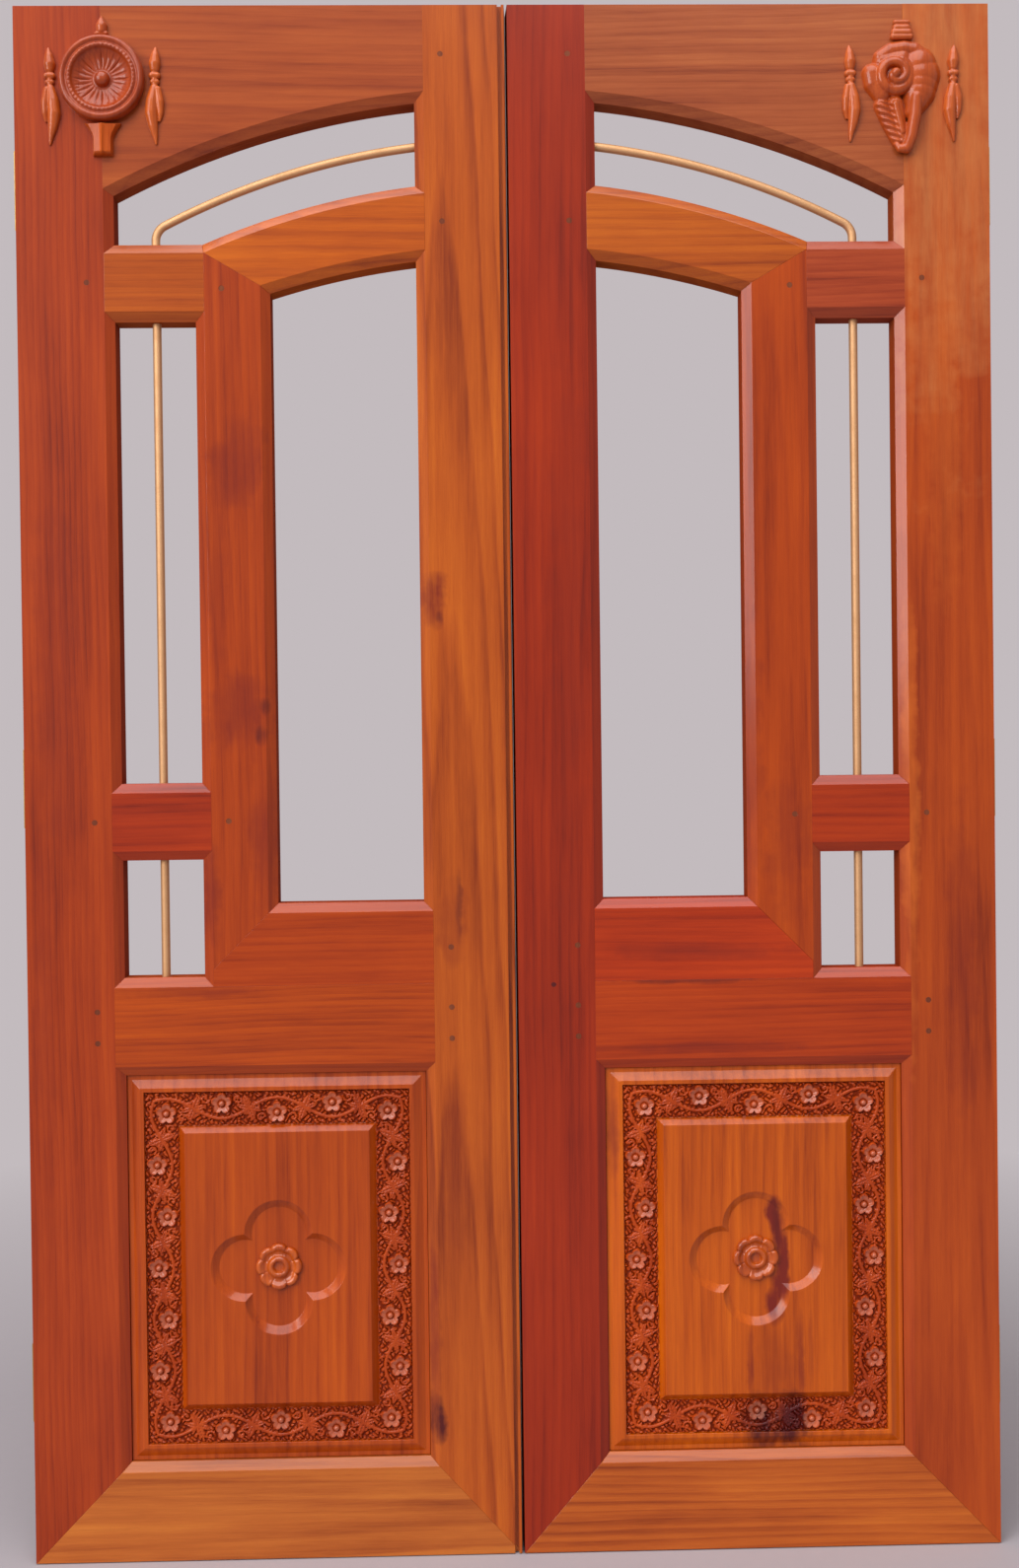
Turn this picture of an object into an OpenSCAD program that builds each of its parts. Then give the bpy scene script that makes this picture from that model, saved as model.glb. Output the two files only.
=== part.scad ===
// Double temple door in teak: two leaves of stiles and rails round open lights, each with a carved
// panel below and an applied emblem in its top corner, hung on brass butt hinges.
// The front faces -Y, the leaves open towards +Y and the pair stands on Z = 0, with X = 0 at the
// middle of its width and Y = 0 at the middle of its thickness.

/* [Leaf] */
// Thickness of the stiles and rails
leaf_t = 38; // [36:1:46]
// Running gap between the two leaves
meeting_gap = 2; // [1.8:0.1:4]
// Width of the moulded bevel along every opening
mould_w = 12; // [9:0.5:14]
// Depth of the moulded bevel at the opening
mould_d = 8; // [5:0.5:9]

/* [Stiles] */
// Width of the hinge stile, to the opening
hinge_stile_w = 122; // [112:1:140]
// Width of the mullion, between its two openings
mullion_w = 95; // [86:1:102]
// Width of the left leaf's meeting stile, to the opening
left_meeting_w = 116.5; // [106:0.5:126]
// Width of the right leaf's meeting stile, to the opening
right_meeting_w = 111.5; // [106:0.5:114]
// Width of the bead along the left leaf's meeting edge
bead_w = 4.5; // [3:0.5:6]
// Width of the groove beside that bead
quirk_w = 5; // [3:0.5:6]
// Depth of the groove beside that bead
quirk_d = 6; // [4:0.5:8]

/* [Lights] */
// Width of the side lights
side_light_w = 102; // [90:1:115]
// Width of the centre light
centre_light_w = 186; // [165:1:205]
// Height of the small side light
small_light_h = 150; // [120:1:180]
// Height of the tall side light
tall_light_h = 587; // [520:1:640]
// Height of the arched light, along the meeting stile
arched_light_h = 105; // [95:1:115]

/* [Rails] */
// Height of the bottom rail, to the panel
bottom_rail_h = 126; // [112:1:145]
// Height of the panel's opening
panel_h = 496; // [450:1:540]
// Height of the lock rail, between the panel and the small light
lock_rail_h = 125; // [112:1:140]
// Height of the two link rails
link_rail_h = 98; // [88:1:110]
// Height of the sill rail, from the lock rail to the centre light
sill_rail_h = 105; // [100:1:120]
// Height of the arched rail, along the meeting stile
arched_rail_h = 96; // [88:1:105]
// Height of the top rail, along the meeting stile
top_rail_h = 122; // [112:1:135]

/* [Arches] */
// Radius of the top rail's underside
top_arch_r = 1080; // [1040:5:1150]
// Radius of the arched rail's upper edge
rail_arch_r = 977; // [940:1:1020]
// Radius of the centre light's head
light_arch_r = 1000; // [950:5:1080]

/* [Joints] */
// Thickness of the tenons
tenon_t = 12; // [9:0.5:14]
// Length of the tenons in the stiles
tenon_l = 45; // [35:1:52]
// Length of the tenons in the mullion
link_tenon_l = 28; // [20:1:32]
// Set-back of a tenon from the rail's edges
tenon_shoulder = 15; // [10:1:20]
// Clearance round a tenon and at its tip
tenon_clear = 0.2; // [0.1:0.05:0.5]
// Radius of the tenon pegs
peg_r = 3.5; // [2.5:0.25:4.5]
// Length of the tenon pegs
peg_l = 30; // [26:1:32]
// Distance of a peg from the shoulder line
peg_inset = 22; // [14:1:26]
// Distance between the two pegs in a tenon of the lock rail
peg_pair = 40; // [30:1:44]
// Clearance round a peg
peg_clear = 0.1; // [0.05:0.05:0.2]

/* [Panel] */
// Thickness of the tongue round the panel
tongue_t = 10; // [8:0.5:12]
// Lead of the tongue in front of the leaf's middle
tongue_lead = 1; // [0.5:0.25:2]
// Reach of the tongue into the frame
tongue_l = 10; // [6:0.5:11]
// Clearance of the tongue and the panel in the frame
panel_clear = 0.4; // [0.2:0.1:0.8]
// Height of the outer ledge above the tongue
ledge_h = 7; // [5:0.5:8]
// Width of the outer ledge
ledge_w = 6; // [4:0.5:8]
// Width of the border's outer slope
slope_w = 11; // [8:0.5:13]
// Height of the border above the ledge
border_h = 6; // [4:0.5:6.5]
// Width of the plain fillet outside the carving
fillet_w = 5; // [3:0.5:7]
// Depth of the carved ground below the fillet
ground_d = 5; // [3.5:0.25:6]
// Width of the carved band
band_w = 44; // [40:1:48]
// Width of the slope up to the raised field
field_slope_w = 8; // [6:0.5:11]
// Height of the raised field above the carved ground
field_h = 9; // [7:0.5:9.5]

/* [Carving] */
// Flowers across the band, with its corners
flowers_across = 5; // [3:2:7]
// Flowers along the band, with its corners
flowers_along = 7; // [5:2:9]
// Sideways shift of the flowers, in and out by turns
flower_shift = 6; // [3:0.5:7]
// Radius of a flower to the middle of its petals
flower_r = 11; // [8:0.5:12]
// Depth of the notches between the petals
petal_d = 2.6; // [1.5:0.1:3.2]
// Height of a flower above the carved ground
flower_h = 5.5; // [4:0.25:6.5]
// Radius of a flower's eye
eye_r = 3.2; // [2:0.2:4]
// Height of a flower's eye above its petals
eye_h = 1.2; // [0.6:0.1:1.8]
// Width of the vine's stem
stem_w = 5; // [3:0.5:6]
// Swing of the stem to each side of the band's middle
stem_swing = 13; // [10:0.5:15]
// Height of the vine above the carved ground
vine_h = 3.6; // [2.5:0.1:4.5]
// Length of a vine leaf
vine_leaf_l = 21; // [15:0.5:24]
// Depth of a vine leaf's root in the stem
leaf_root = 1; // [0.5:0.25:2]
// Half width of a vine leaf
vine_leaf_w = 5; // [3:0.25:6]

/* [Quatrefoil and rosette] */
// Radius of a lobe at the field's face
lobe_r = 44.5; // [40:0.5:48]
// Distance of a lobe's centre from the middle
lobe_off = 42; // [38:0.5:46]
// Depth of the hollow
hollow_d = 7; // [5:0.5:8]
// Width of the hollow's sloping wall
hollow_slope = 10; // [7:0.5:12]
// Radius of the rosette to the middle of its petal tips
rosette_r = 27; // [22:0.5:30]
// Petals of the rosette
rosette_petals = 8; // [6:1:12]
// Depth of the notches between the rosette's petals
rosette_notch = 2.2; // [1:0.2:3]
// Height of the rosette above the hollow's floor
rosette_h = 8; // [6:0.5:9]
// Depth of the rosette's dish
rosette_dish = 4; // [2:0.5:5]
// Radius of the ring round the rosette's eye
rosette_ring_r = 11; // [9:0.5:13]
// Radius of the rosette's eye hole
rosette_eye_r = 5.5; // [4:0.5:7]

/* [Brass rod] */
// Radius of the rod
rod_r = 5.5; // [4:0.25:6.5]
// Height of the rod over the arched rail, along the meeting stile
rod_rise = 53; // [47:1:60]
// Radius of the rod's long curve
rod_arch_r = 950; // [900:5:1000]
// Radius of the rod's bend over the side light
rod_bend_r = 22; // [16:1:30]
// Depth of the rod's ends in the wood
rod_seat = 15; // [10:1:20]
// Clearance round the rod in its holes
rod_clear = 0.2; // [0.1:0.05:0.4]

/* [Emblems] */
// Distance of an emblem's middle below the top edge
emblem_drop = 94; // [90:1:100]
// Distance of an emblem's middle from the seam of stile and top rail
emblem_off = 2; // [-6:1:8]
// Radius of the discus
disc_r = 54; // [48:0.5:56]
// Thickness of the discus at its rim
disc_t = 12; // [9:0.5:14]
// Radius of the discus's rim bead
rim_r = 5; // [3.5:0.25:5.5]
// Radius of the dish in the discus
dish_r = 36; // [32:0.5:38]
// Depth of the dish in the discus
dish_d = 9; // [6:0.5:9.5]
// Radius of the discus's hub
hub_r = 10; // [7:0.5:12]
// Width of the discus's foot at its top
foot_top_w = 46; // [38:1:50]
// Width of the discus's foot at its base
foot_base_w = 25; // [20:1:30]
// Height of the foot's taper, and of the block below it
foot_step_h = 20; // [16:1:21]
// Thickness of the foot
foot_t = 13; // [10:0.5:15]
// Height of a crown bud
crown_h = 26; // [20:1:30]
// Distance of the flames from an emblem's middle
flame_off = 66; // [64:1:72]
// Height of a flame
flame_h = 126; // [110:1:130]
// Height of the conch, from its tip to its shoulder
conch_h = 150; // [134:1:154]
// Height of the conch's crown bud over the emblem's middle
conch_crown_z = 46.5; // [46.5:0.5:49]
// Height of a carved body over the wood
relief_h = 16; // [12:0.5:18]

/* [Hinges] */
// Length of a hinge
hinge_h = 100; // [90:5:120]
// Distance of the outer hinges' middles from the leaf's ends
hinge_inset = 230; // [180:5:280]
// Thickness of the hinge plates
plate_t = 2.5; // [2:0.25:3]
// Width of a hinge plate, from the back face
plate_w = 30; // [28:1:32]
// Gap between the closed plates
hinge_gap = 0.5; // [0.4:0.1:1]
// Radius of the hinge pin
pin_r = 2.5; // [2:0.1:3]
// Running clearance round the pin
pin_clear = 0.05; // [0.03:0.01:0.08]
// Radius of the knuckles
knuckle_r = 5.5; // [5:0.1:6]
// Clearance of the knuckles from the back face
knuckle_clear = 0.5; // [0.4:0.1:1]
// Gap between neighbouring knuckles
knuckle_gap = 0.4; // [0.3:0.05:0.6]
// Height of a pin's cap
cap_h = 3; // [2:0.5:5]
// Distance between the screw holes across a plate
hole_across = 14; // [12:0.5:16]
// Distance between the screw holes along a plate
hole_along = 70; // [60:1:76]
// Radius of the screw holes in the jamb plates
jamb_hole_r = 2.75; // [2.5:0.05:3]
// Radius of the countersinks in the jamb plates
jamb_sink_r = 5; // [4:0.25:5.5]
// Depth of the countersinks in the jamb plates
jamb_sink_d = 1.4; // [0.8:0.1:1.6]
// Radius of the leaf's screws
screw_r = 2; // [1.6:0.1:2.2]
// Radius of the screws' heads
screw_head_r = 4; // [3:0.1:4.5]
// Length of the leaf's screws
screw_l = 26; // [20:1:32]
// Clearance round the screws
screw_clear = 0.1; // [0.05:0.05:0.2]

/* [Hidden] */

// Facets of a curve in the preview, and of the carved forms
$fn = 96;
carving_fn = 12;
// A length that outruns any piece, and a little overlap of what is fused
far = 3000;
sunk = 0.4;

// The two leaves
left = 0;
right = 1;

// Finishes
teak = [0.72, 0.36, 0.16];
dark_teak = [0.60, 0.25, 0.12];
carved_teak = [0.66, 0.30, 0.14];
brass = [0.85, 0.68, 0.36];

// Planes of a leaf: its front face, its back face and the axis of its hinges
face_y = -leaf_t / 2;
back_y = leaf_t / 2;
pin_y = back_y + knuckle_clear + knuckle_r;
pin_u = -hinge_gap / 2;

// Places across a leaf, from the hinge edge: each opening's edge, and the line where its bevel starts
stile_in = hinge_stile_w;
stile_face = stile_in - mould_w;
mullion_l = stile_in + side_light_w;
mullion_l_face = mullion_l + mould_w;
mullion_r = mullion_l + mullion_w;
mullion_r_face = mullion_r - mould_w;
meeting_in = mullion_r + centre_light_w;
meeting_face = meeting_in + mould_w;
leaf_w = [meeting_in + left_meeting_w, meeting_in + right_meeting_w];
pair_w = leaf_w[left] + meeting_gap + leaf_w[right];
arch_u = pair_w / 2;

// Places up a leaf, from its foot
panel_z0 = bottom_rail_h;
panel_z1 = panel_z0 + panel_h;
small_z0 = panel_z1 + lock_rail_h;
small_z1 = small_z0 + small_light_h;
tall_z0 = small_z1 + link_rail_h;
tall_z1 = tall_z0 + tall_light_h;
link_z = tall_z1 + link_rail_h;
lock_face_z = small_z0 - mould_w;
sill_z = lock_face_z + sill_rail_h;

// Half chord of the arches at a place across the leaf, and the height of an arc there over its centre
function rise(r, u) = sqrt(r * r - (arch_u - u) * (arch_u - u));
// Centres of the arches: the arched rail springs from the link rail's face at the mullion, and the
// others are set off from it along the meeting stile
rail_arch_z = link_z - mould_w - rise(rail_arch_r - mould_w, mullion_l_face);
rail_meeting_z = rail_arch_z + rise(rail_arch_r, meeting_in);
light_arch_z = rail_meeting_z - arched_rail_h - rise(light_arch_r, meeting_in);
top_meeting_z = rail_meeting_z + arched_light_h;
top_arch_z = top_meeting_z - rise(top_arch_r, meeting_in);
leaf_h = top_meeting_z + top_rail_h;
rod_arch_z = rail_meeting_z + rod_rise - rise(rod_arch_r, meeting_in);

// Points where an arch meets an upright: at the opening, and on the face where the bevels start
function top_open(u) = [u, top_arch_z + rise(top_arch_r, u)];
function top_face(u) = [u, top_arch_z + rise(top_arch_r + mould_w, u)];
function rail_open(u) = [u, rail_arch_z + rise(rail_arch_r, u)];
function rail_face(u) = [u, rail_arch_z + rise(rail_arch_r - mould_w, u)];
function light_open(u) = [u, light_arch_z + rise(light_arch_r, u)];
function light_face(u) = [u, light_arch_z + rise(light_arch_r + mould_w, u)];
spring_u = arch_u - sqrt(rail_arch_r * rail_arch_r - (link_z - rail_arch_z) * (link_z - rail_arch_z));

// Levels of the panel, from the tongue's back to the raised field
tongue_back = tongue_t - tongue_lead;
tongue_front = tongue_back - tongue_t;
ledge_y = tongue_front - ledge_h;
border_y = ledge_y - border_h;
ledge_back_y = ledge_y + sunk * border_h / slope_w;
ground_y = border_y + ground_d;
field_y = ground_y - field_h;
hollow_y = field_y + hollow_d;
// Insets of the panel's steps from its opening
border_in = ledge_w + slope_w;
band_in = border_in + fillet_w;
field_foot_in = band_in + band_w;
field_in = field_foot_in + field_slope_w;
// Middle of the panel, and the half sides of the line that its flowers follow
panel_mid = [(stile_in + meeting_in) / 2, (panel_z0 + panel_z1) / 2];
vine_half = [(meeting_in - stile_in) / 2 - band_in - band_w / 2, panel_h / 2 - band_in - band_w / 2];

// The rod: its line up the side lights, the middle of its bend and the turn of its long curve
rod_u = stile_in + side_light_w / 2;
rod_foot_z = small_z0 - rod_seat;
bend_u = rod_u + rod_bend_r;
bend_z = rod_arch_z + sqrt(pow(rod_arch_r - rod_bend_r, 2) - pow(arch_u - bend_u, 2));
bend_turn = acos((arch_u - bend_u) / (rod_arch_r - rod_bend_r));
rod_end_turn = acos((arch_u - meeting_in - rod_seat) / rod_arch_r);

// Middle of an emblem on a leaf
emblem_u = stile_face + emblem_off;
emblem_z = leaf_h - emblem_drop;

// Middles of the hinges, and the height of one knuckle
hinge_z = [hinge_inset, leaf_h / 2, leaf_h - hinge_inset];
knuckle_h = hinge_h / 5;
leaf_knuckles = [1, 3];
jamb_knuckles = [0, 2, 4];

// Height of the arched rail's mitre on the mullion, at a place across the leaf
function mitre_z(u) = link_z - mould_w + (u - mullion_l_face)
    * (light_face(mullion_r_face)[1] - link_z + mould_w) / (mullion_r_face - mullion_l_face);

// Shoulders of the tenons: the line of each, the way its tenon points, its length, and the rail's
// faces below and above
hinge_tenons = [
    [stile_face, -1, tenon_l, panel_z1 + mould_w, lock_face_z],
    [stile_face, -1, tenon_l, small_z1 + mould_w, tall_z0 - mould_w],
    [stile_face, -1, tenon_l, tall_z1 + mould_w, link_z - mould_w],
    [stile_face, -1, tenon_l, top_face(stile_face)[1], leaf_h - tenon_shoulder]
];
meeting_tenons = [
    [meeting_face, 1, tenon_l, panel_z1 + mould_w, lock_face_z],
    [meeting_face, 1, tenon_l, lock_face_z, sill_z - mould_w],
    [meeting_face, 1, tenon_l, light_face(meeting_face)[1], rail_face(meeting_face)[1]],
    [meeting_face, 1, tenon_l, top_face(meeting_face)[1], leaf_h - tenon_shoulder]
];
mullion_tenons = [
    [mullion_l_face, 1, link_tenon_l, small_z1 + mould_w, tall_z0 - mould_w],
    [mullion_l_face, 1, link_tenon_l, tall_z1 + mould_w, mitre_z(mullion_l_face + link_tenon_l)]
];

// Places a piece of a leaf: the left one as drawn, the right one in the mirror
module on_leaf(side) {
    mirror([side, 0, 0]) translate([-pair_w / 2, 0, 0]) children();
}

// A flat member: an outline across and up the leaf, through its whole thickness
module member(outline) {
    rotate([90, 0, 0]) linear_extrude(leaf_t, center = true) polygon(outline);
}

// A flat form that stands forward from a level
module forward(level, height) {
    translate([0, level, 0]) rotate([90, 0, 0]) linear_extrude(height) children();
}

// A solid drawn with its third axis towards the front, set on a level
module facing(level) {
    translate([0, level, 0]) rotate([90, 0, 0]) children();
}

// Section of the waste that leaves a bevel, from its line on the face to the opening's edge
function waste(face_line, open_line) = let (w = (open_line - face_line) / 2, d = mould_d / 2) [
    [face_line - w, face_y - d],
    [face_line + 3 * w, face_y + 3 * d],
    [face_line + 3 * w, face_y - d]
];

// Bevel along an upright edge
module upright_bevel(face_line, open_line) {
    translate([0, 0, -far / 2]) linear_extrude(2 * far) polygon(waste(face_line, open_line));
}

// Bevel along a level edge
module level_bevel(face_line, open_line) {
    section = [for (p = waste(face_line, open_line)) [p[1], p[0]]];
    translate([-far / 2, 0, 0]) rotate([90, 0, 90]) linear_extrude(far) polygon(section);
}

// Drum of an arch, with its rim bevelled from the opening's radius to that on the face
module arch_drum(r, face_r, centre_z) {
    rim = (face_r - r) / 2;
    section = [
        [0, -leaf_t], [r, -leaf_t], [r, leaf_t / 2 - mould_d],
        [r + 3 * rim, leaf_t / 2 + mould_d / 2], [0, leaf_t / 2 + mould_d / 2]
    ];
    translate([arch_u, 0, centre_z]) rotate([90, 0, 0]) rotate_extrude($fn = 720) polygon(section);
}

// One tenon, or with some slack its mortise
module tenon(t, slack = 0) {
    low = t[3] + tenon_shoulder - slack;
    length = t[2] + slack;
    translate([t[1] > 0 ? t[0] - sunk : t[0] - length, -tenon_t / 2 - slack, low])
        cube([length + sunk, tenon_t + 2 * slack, t[4] - tenon_shoulder + slack - low]);
}

// The mortises of a row of tenons
module mortises(tenons) {
    for (t = tenons) tenon(t, tenon_clear);
}

// Heights of a tenon's pegs from its middle: the lock rail's tenons take two
function peg_rows(t) = t[4] > lock_face_z ? [0] : [-peg_pair / 2, peg_pair / 2];

// The pegs of a row of tenons, or with some slack their holes
module pegs(tenons, slack = 0) {
    for (t = tenons, row = peg_rows(t))
        translate([t[0] + t[1] * peg_inset, face_y - slack, (t[3] + t[4]) / 2 + row])
            rotate([-90, 0, 0]) cylinder(r = peg_r + slack, h = peg_l + 2 * slack);
}

// The slot that the panel's tongue runs in, right across the opening
module panel_slot() {
    reach = tongue_l + panel_clear;
    translate([stile_in - reach, tongue_front - panel_clear, panel_z0 - reach])
        cube([meeting_in - stile_in + 2 * reach, tongue_t + 2 * panel_clear, panel_h + 2 * reach]);
}

// The rod's three stretches, or with some slack the holes for them
module rod_upright(slack = 0) {
    translate([rod_u, 0, rod_foot_z]) cylinder(r = rod_r + slack, h = bend_z - rod_foot_z);
}
module rod_curve(slack, bend_r, middle_u, middle_z, from, turn) {
    translate([middle_u, 0, middle_z]) rotate([90, 0, 0]) rotate([0, 0, from])
        rotate_extrude(angle = turn, $fn = 360) translate([bend_r, 0]) circle(rod_r + slack, $fn = 48);
}
module rod_bend(slack = 0) {
    rod_curve(slack, rod_bend_r, bend_u, bend_z, 180 - bend_turn, bend_turn);
}
module rod_arch(slack = 0, more = 0) {
    end_turn = rod_end_turn + more / rod_arch_r;
    rod_curve(slack, rod_arch_r, arch_u, rod_arch_z, 180 - end_turn, end_turn - bend_turn);
}

// The groove that sets off the bead on the left leaf's meeting edge
module meeting_quirk(side) {
    if (side == left) translate([leaf_w[side] - bead_w - quirk_w, face_y - leaf_t, -leaf_t])
        cube([quirk_w, leaf_t + quirk_d, far]);
}

// Upright members
module hinge_stile(side) {
    outline = [
        [0, 0], [stile_face, panel_z0 - mould_w],
        [stile_in, panel_z0], [stile_in, panel_z1],
        [stile_face, panel_z1 + mould_w], [stile_face, lock_face_z],
        [stile_in, small_z0], [stile_in, small_z1],
        [stile_face, small_z1 + mould_w], [stile_face, tall_z0 - mould_w],
        [stile_in, tall_z0], [stile_in, tall_z1],
        [stile_face, tall_z1 + mould_w], [stile_face, link_z - mould_w],
        [stile_in, link_z], top_open(stile_in),
        top_face(stile_face), [stile_face, leaf_h], [0, leaf_h]
    ];
    color(dark_teak) on_leaf(side) difference() {
        member(outline);
        upright_bevel(stile_face, stile_in);
        panel_slot();
        mortises(hinge_tenons);
        pegs(hinge_tenons, peg_clear);
        hinge_beds();
        screws(screw_clear);
    }
}

module meeting_stile(side) {
    edge = leaf_w[side];
    outline = [
        [edge, 0], [meeting_face, panel_z0 - mould_w],
        [meeting_in, panel_z0], [meeting_in, panel_z1],
        [meeting_face, panel_z1 + mould_w], [meeting_face, sill_z - mould_w],
        [meeting_in, sill_z], light_open(meeting_in),
        light_face(meeting_face), rail_face(meeting_face),
        rail_open(meeting_in), top_open(meeting_in),
        top_face(meeting_face), [meeting_face, leaf_h], [edge, leaf_h]
    ];
    color(dark_teak) on_leaf(side) difference() {
        member(outline);
        upright_bevel(meeting_face, meeting_in);
        panel_slot();
        mortises(meeting_tenons);
        pegs(meeting_tenons, peg_clear);
        rod_arch(rod_clear, rod_clear * 100);
        meeting_quirk(side);
    }
}

module mullion(side) {
    sill_face_z = sill_z - mould_w;
    outline = [
        [mullion_l_face, lock_face_z], [mullion_l, small_z0], [mullion_l, small_z1],
        [mullion_l_face, small_z1 + mould_w], [mullion_l_face, tall_z0 - mould_w],
        [mullion_l, tall_z0], [mullion_l, tall_z1],
        [mullion_l_face, tall_z1 + mould_w], [mullion_l_face, link_z - mould_w],
        light_face(mullion_r_face), light_open(mullion_r),
        [mullion_r, sill_z], [mullion_r_face, sill_face_z],
        [mullion_l_face, sill_face_z - mullion_r_face + mullion_l_face]
    ];
    color(dark_teak) on_leaf(side) difference() {
        member(outline);
        upright_bevel(mullion_l_face, mullion_l);
        upright_bevel(mullion_r_face, mullion_r);
        mortises(mullion_tenons);
        pegs(mullion_tenons, peg_clear);
    }
}

// Level members
module top_rail(side) {
    outline = [
        [stile_face, leaf_h], top_face(stile_face), top_open(stile_in),
        top_open(meeting_in), top_face(meeting_face), [meeting_face, leaf_h]
    ];
    color(teak) on_leaf(side) difference() {
        union() {
            difference() {
                member(outline);
                arch_drum(top_arch_r, top_arch_r + mould_w, top_arch_z);
            }
            tenon(hinge_tenons[3]);
            tenon(meeting_tenons[3]);
        }
        pegs([hinge_tenons[3], meeting_tenons[3]], peg_clear);
    }
}

module arched_rail(side) {
    crest = rail_arch_z + rail_arch_r;
    outline = [
        [spring_u, link_z], [mullion_l_face, link_z - mould_w],
        light_face(mullion_r_face), light_open(mullion_r),
        light_open(meeting_in), light_face(meeting_face),
        rail_face(meeting_face), rail_open(meeting_in),
        [meeting_in, crest], [spring_u, crest]
    ];
    color(teak) on_leaf(side) difference() {
        union() {
            difference() {
                intersection() {
                    member(outline);
                    arch_drum(rail_arch_r, rail_arch_r - mould_w, rail_arch_z);
                }
                arch_drum(light_arch_r, light_arch_r + mould_w, light_arch_z);
            }
            tenon(meeting_tenons[2]);
        }
        pegs([meeting_tenons[2]], peg_clear);
    }
}

module sill_rail(side) {
    sill_face_z = sill_z - mould_w;
    outline = [
        [mullion_l_face, lock_face_z],
        [mullion_l_face, sill_face_z - mullion_r_face + mullion_l_face],
        [mullion_r_face, sill_face_z], [mullion_r, sill_z], [meeting_in, sill_z],
        [meeting_face, sill_face_z], [meeting_face, lock_face_z]
    ];
    color(teak) on_leaf(side) difference() {
        union() {
            difference() {
                member(outline);
                level_bevel(sill_face_z, sill_z);
            }
            tenon(meeting_tenons[1]);
        }
        pegs([meeting_tenons[1]], peg_clear);
    }
}

module upper_link_rail(side) {
    outline = [
        [stile_face, tall_z1 + mould_w], [stile_face, link_z - mould_w],
        [stile_in, link_z], [spring_u, link_z],
        [mullion_l_face, link_z - mould_w], [mullion_l_face, tall_z1 + mould_w],
        [mullion_l, tall_z1], [stile_in, tall_z1]
    ];
    link_rail(side, outline, tall_z1, link_z, [hinge_tenons[2], mullion_tenons[1]]);
}

module lower_link_rail(side) {
    outline = [
        [stile_face, small_z1 + mould_w], [stile_face, tall_z0 - mould_w],
        [stile_in, tall_z0], [mullion_l, tall_z0],
        [mullion_l_face, tall_z0 - mould_w], [mullion_l_face, small_z1 + mould_w],
        [mullion_l, small_z1], [stile_in, small_z1]
    ];
    link_rail(side, outline, small_z1, tall_z0, [hinge_tenons[1], mullion_tenons[0]]);
}

// A short rail between hinge stile and mullion, bevelled below and above, with the rod through it
module link_rail(side, outline, low, high, tenons) {
    color(teak) on_leaf(side) difference() {
        union() {
            difference() {
                member(outline);
                level_bevel(low + mould_w, low);
                level_bevel(high - mould_w, high);
            }
            for (t = tenons) tenon(t);
        }
        pegs(tenons, peg_clear);
        rod_upright(rod_clear);
        rod_bend(rod_clear);
    }
}

module lock_rail(side) {
    outline = [
        [stile_face, panel_z1 + mould_w], [stile_face, lock_face_z],
        [stile_in, small_z0], [mullion_l, small_z0],
        [mullion_l_face, lock_face_z], [meeting_face, lock_face_z],
        [meeting_face, panel_z1 + mould_w], [meeting_in, panel_z1], [stile_in, panel_z1]
    ];
    color(teak) on_leaf(side) difference() {
        union() {
            difference() {
                member(outline);
                level_bevel(panel_z1 + mould_w, panel_z1);
                level_bevel(lock_face_z, small_z0);
                panel_slot();
            }
            tenon(hinge_tenons[0]);
            tenon(meeting_tenons[0]);
        }
        pegs([hinge_tenons[0], meeting_tenons[0]], peg_clear);
        rod_upright(rod_clear);
    }
}

module bottom_rail(side) {
    outline = [
        [0, 0], [stile_face, panel_z0 - mould_w], [stile_in, panel_z0],
        [meeting_in, panel_z0], [meeting_face, panel_z0 - mould_w], [leaf_w[side], 0]
    ];
    color(teak) on_leaf(side) difference() {
        member(outline);
        level_bevel(panel_z0 - mould_w, panel_z0);
        panel_slot();
        meeting_quirk(side);
    }
}

// A board inside the panel's opening, from one level forward to another
module board(inset, back, front) {
    translate([stile_in + inset, front, panel_z0 + inset])
        cube([meeting_in - stile_in - 2 * inset, back - front, panel_h - 2 * inset]);
}

// A board whose four sides slope in towards its front
module sloped_board(back_in, back, front_in, front) {
    across = [
        [stile_in + back_in, back], [meeting_in - back_in, back],
        [meeting_in - front_in, front], [stile_in + front_in, front]
    ];
    up = [
        [back, panel_z0 + back_in], [back, panel_z1 - back_in],
        [front, panel_z1 - front_in], [front, panel_z0 + front_in]
    ];
    intersection() {
        translate([0, 0, panel_z0]) linear_extrude(panel_h) polygon(across);
        translate([stile_in, 0, 0]) rotate([90, 0, 90]) linear_extrude(meeting_in - stile_in) polygon(up);
    }
}

// The four-lobed hollow in the raised field
module quatrefoil() {
    floor_r = lobe_r - hollow_slope;
    facing(hollow_y) translate([panel_mid[0], panel_mid[1], 0]) {
        for (turn = [0 : 90 : 270]) rotate([0, 0, turn]) translate([lobe_off, 0, 0])
            cylinder(r1 = floor_r, r2 = lobe_r + hollow_slope, h = 2 * hollow_d);
        cylinder(r1 = floor_r, r2 = lobe_r + hollow_slope, h = 2 * hollow_d);
    }
}

// Flowers and vine stand along the band's four sides: each side is drawn level, and turned into place
function side_half(s) = vine_half[s % 2] - flower_shift;
function side_steps(s) = (s % 2 == 0 ? flowers_across : flowers_along) - 1;
function side_pitch(s) = 2 * side_half(s) / side_steps(s);
module band_side(s) {
    translate(panel_mid) rotate(90 * s) translate([0, vine_half[(s + 1) % 2]]) children();
}

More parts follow.
